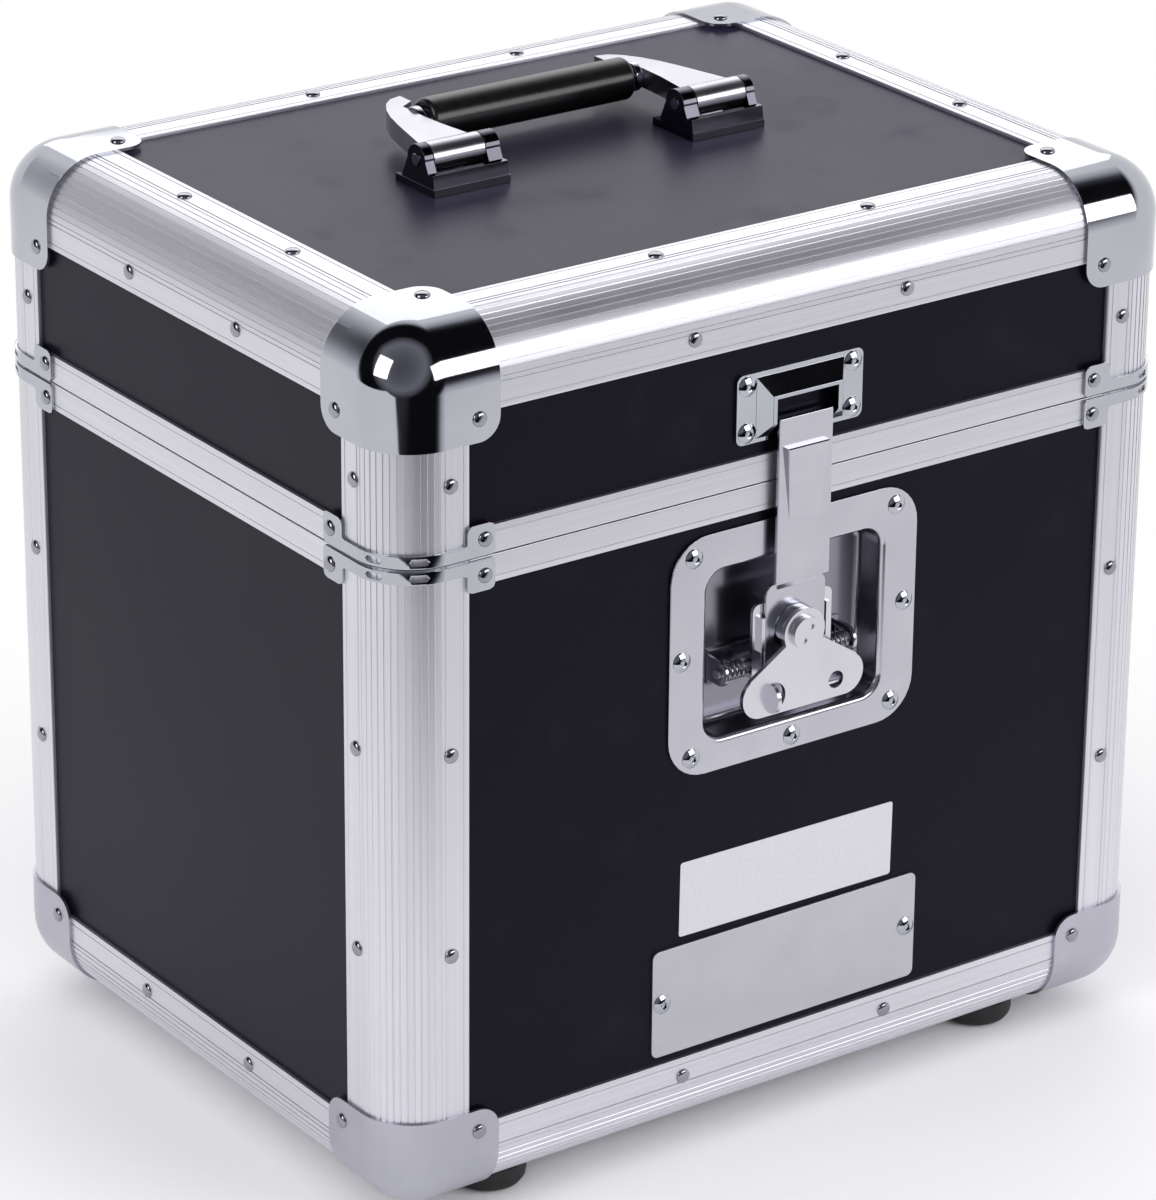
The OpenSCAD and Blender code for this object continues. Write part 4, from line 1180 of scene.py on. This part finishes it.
def makeWorld():
    # The camera sees plain white. Metal sees the same white with the dark side of the studio in it.
    world = bpy.data.worlds.new("studio")
    scene.world = world
    world.use_nodes = True
    tree = world.node_tree
    tree.nodes.clear()
    path = addNode(tree, "ShaderNodeLightPath")
    direction = addNode(tree, "ShaderNodeTexCoord").outputs["Generated"]
    toward = addNode(tree, "ShaderNodeVectorMath", {
        0: direction, 1: light["darkSide"],
    }, {"operation": "DOT_PRODUCT"})
    studio = addNode(tree, "ShaderNodeValToRGB")
    ramp = studio.color_ramp.elements
    lowest = light["sides"][0][0]
    share = addNode(tree, "ShaderNodeMapRange", {
        "Value": toward.outputs["Value"], "From Min": lowest, "From Max": 1.0,
    })
    connect(tree, studio, {0: share})
    for i, (at, colour) in enumerate(light["sides"]):
        stop = ramp[i] if i < 2 else ramp.new(0.999)
        stop.position = (at - lowest) / (1.0 - lowest)
        stop.color = linear(colour)
    room = addNode(tree, "ShaderNodeBackground", {"Color": linear("#ffffff"), "Strength": light["world"]})
    mirror = addNode(tree, "ShaderNodeBackground", {"Color": studio, "Strength": 1.0})
    white = addNode(tree, "ShaderNodeBackground", {"Color": linear("#ffffff"), "Strength": 1.0})
    glossy = addNode(tree, "ShaderNodeMath", {
        0: path.outputs["Is Glossy Ray"], 1: path.outputs["Is Transmission Ray"],
    }, {"operation": "MAXIMUM"})
    mix = addNode(tree, "ShaderNodeMixShader", {0: glossy, 1: room, 2: mirror})
    seen = addNode(tree, "ShaderNodeMixShader", {0: path.outputs["Is Camera Ray"], 1: mix, 2: white})
    addNode(tree, "ShaderNodeOutputWorld", {"Surface": seen})


def paleFloor():
    # Matt white paper: it keeps the case's shadow near it and fades into the white backdrop.
    made, tree, shader, where = startMaterial("paleFloor", {
        "Base Color": linear(light["floorColour"]), "Roughness": 0.9, "Specular IOR Level": 0.0,
    })
    path = addNode(tree, "ShaderNodeLightPath")
    seen = addNode(tree, "ShaderNodeMath", {
        0: path.outputs["Is Camera Ray"], 1: path.outputs["Is Glossy Ray"],
    }, {"operation": "MAXIMUM"})
    seen = addNode(tree, "ShaderNodeMath", {
        0: seen, 1: path.outputs["Is Transmission Ray"],
    }, {"operation": "MAXIMUM"})
    away = addNode(tree, "ShaderNodeVectorMath", {0: where}, {"operation": "LENGTH"})
    near, far = light["white"]
    fade = addNode(tree, "ShaderNodeMapRange", {
        "Value": away.outputs["Value"], "From Min": near, "From Max": far,
    }, {"interpolation_type": "SMOOTHSTEP"})
    amount = addNode(tree, "ShaderNodeMath", {0: seen, 1: fade}, {"operation": "MULTIPLY"})
    white = addNode(tree, "ShaderNodeEmission", {"Color": linear("#ffffff"), "Strength": 1.0})
    both = addNode(tree, "ShaderNodeMixShader", {0: amount, 1: shader, 2: white})
    connect(tree, tree.nodes["Material Output"], {"Surface": both})
    return made


def makeFloor():
    (left, front), (right, back) = light["floor"]
    mesh = bpy.data.meshes.new("floor")
    corners = [(left, front, 0), (right, front, 0), (right, back, 0), (left, back, 0)]
    mesh.from_pydata(corners, [], [(0, 1, 2, 3)])
    mesh.materials.append(paleFloor())
    floor = placed("floor", mesh)


def makeLamps():
    for name, (place, size, watts) in light["softboxes"].items():
        data = bpy.data.lights.new(name, "AREA")
        data.shape = "RECTANGLE"
        data.size, data.size_y = size
        data.energy = watts
        lamp = placed(name, data)
        lamp.location = place
        lamp.rotation_mode = "QUATERNION"
        lamp.rotation_quaternion = (Vector(light["aim"]) - Vector(place)).to_track_quat("-Z", "Y")


makeWorld()
makeFloor()
makeLamps()
scene.view_settings.view_transform = "Standard"
print("studio made")
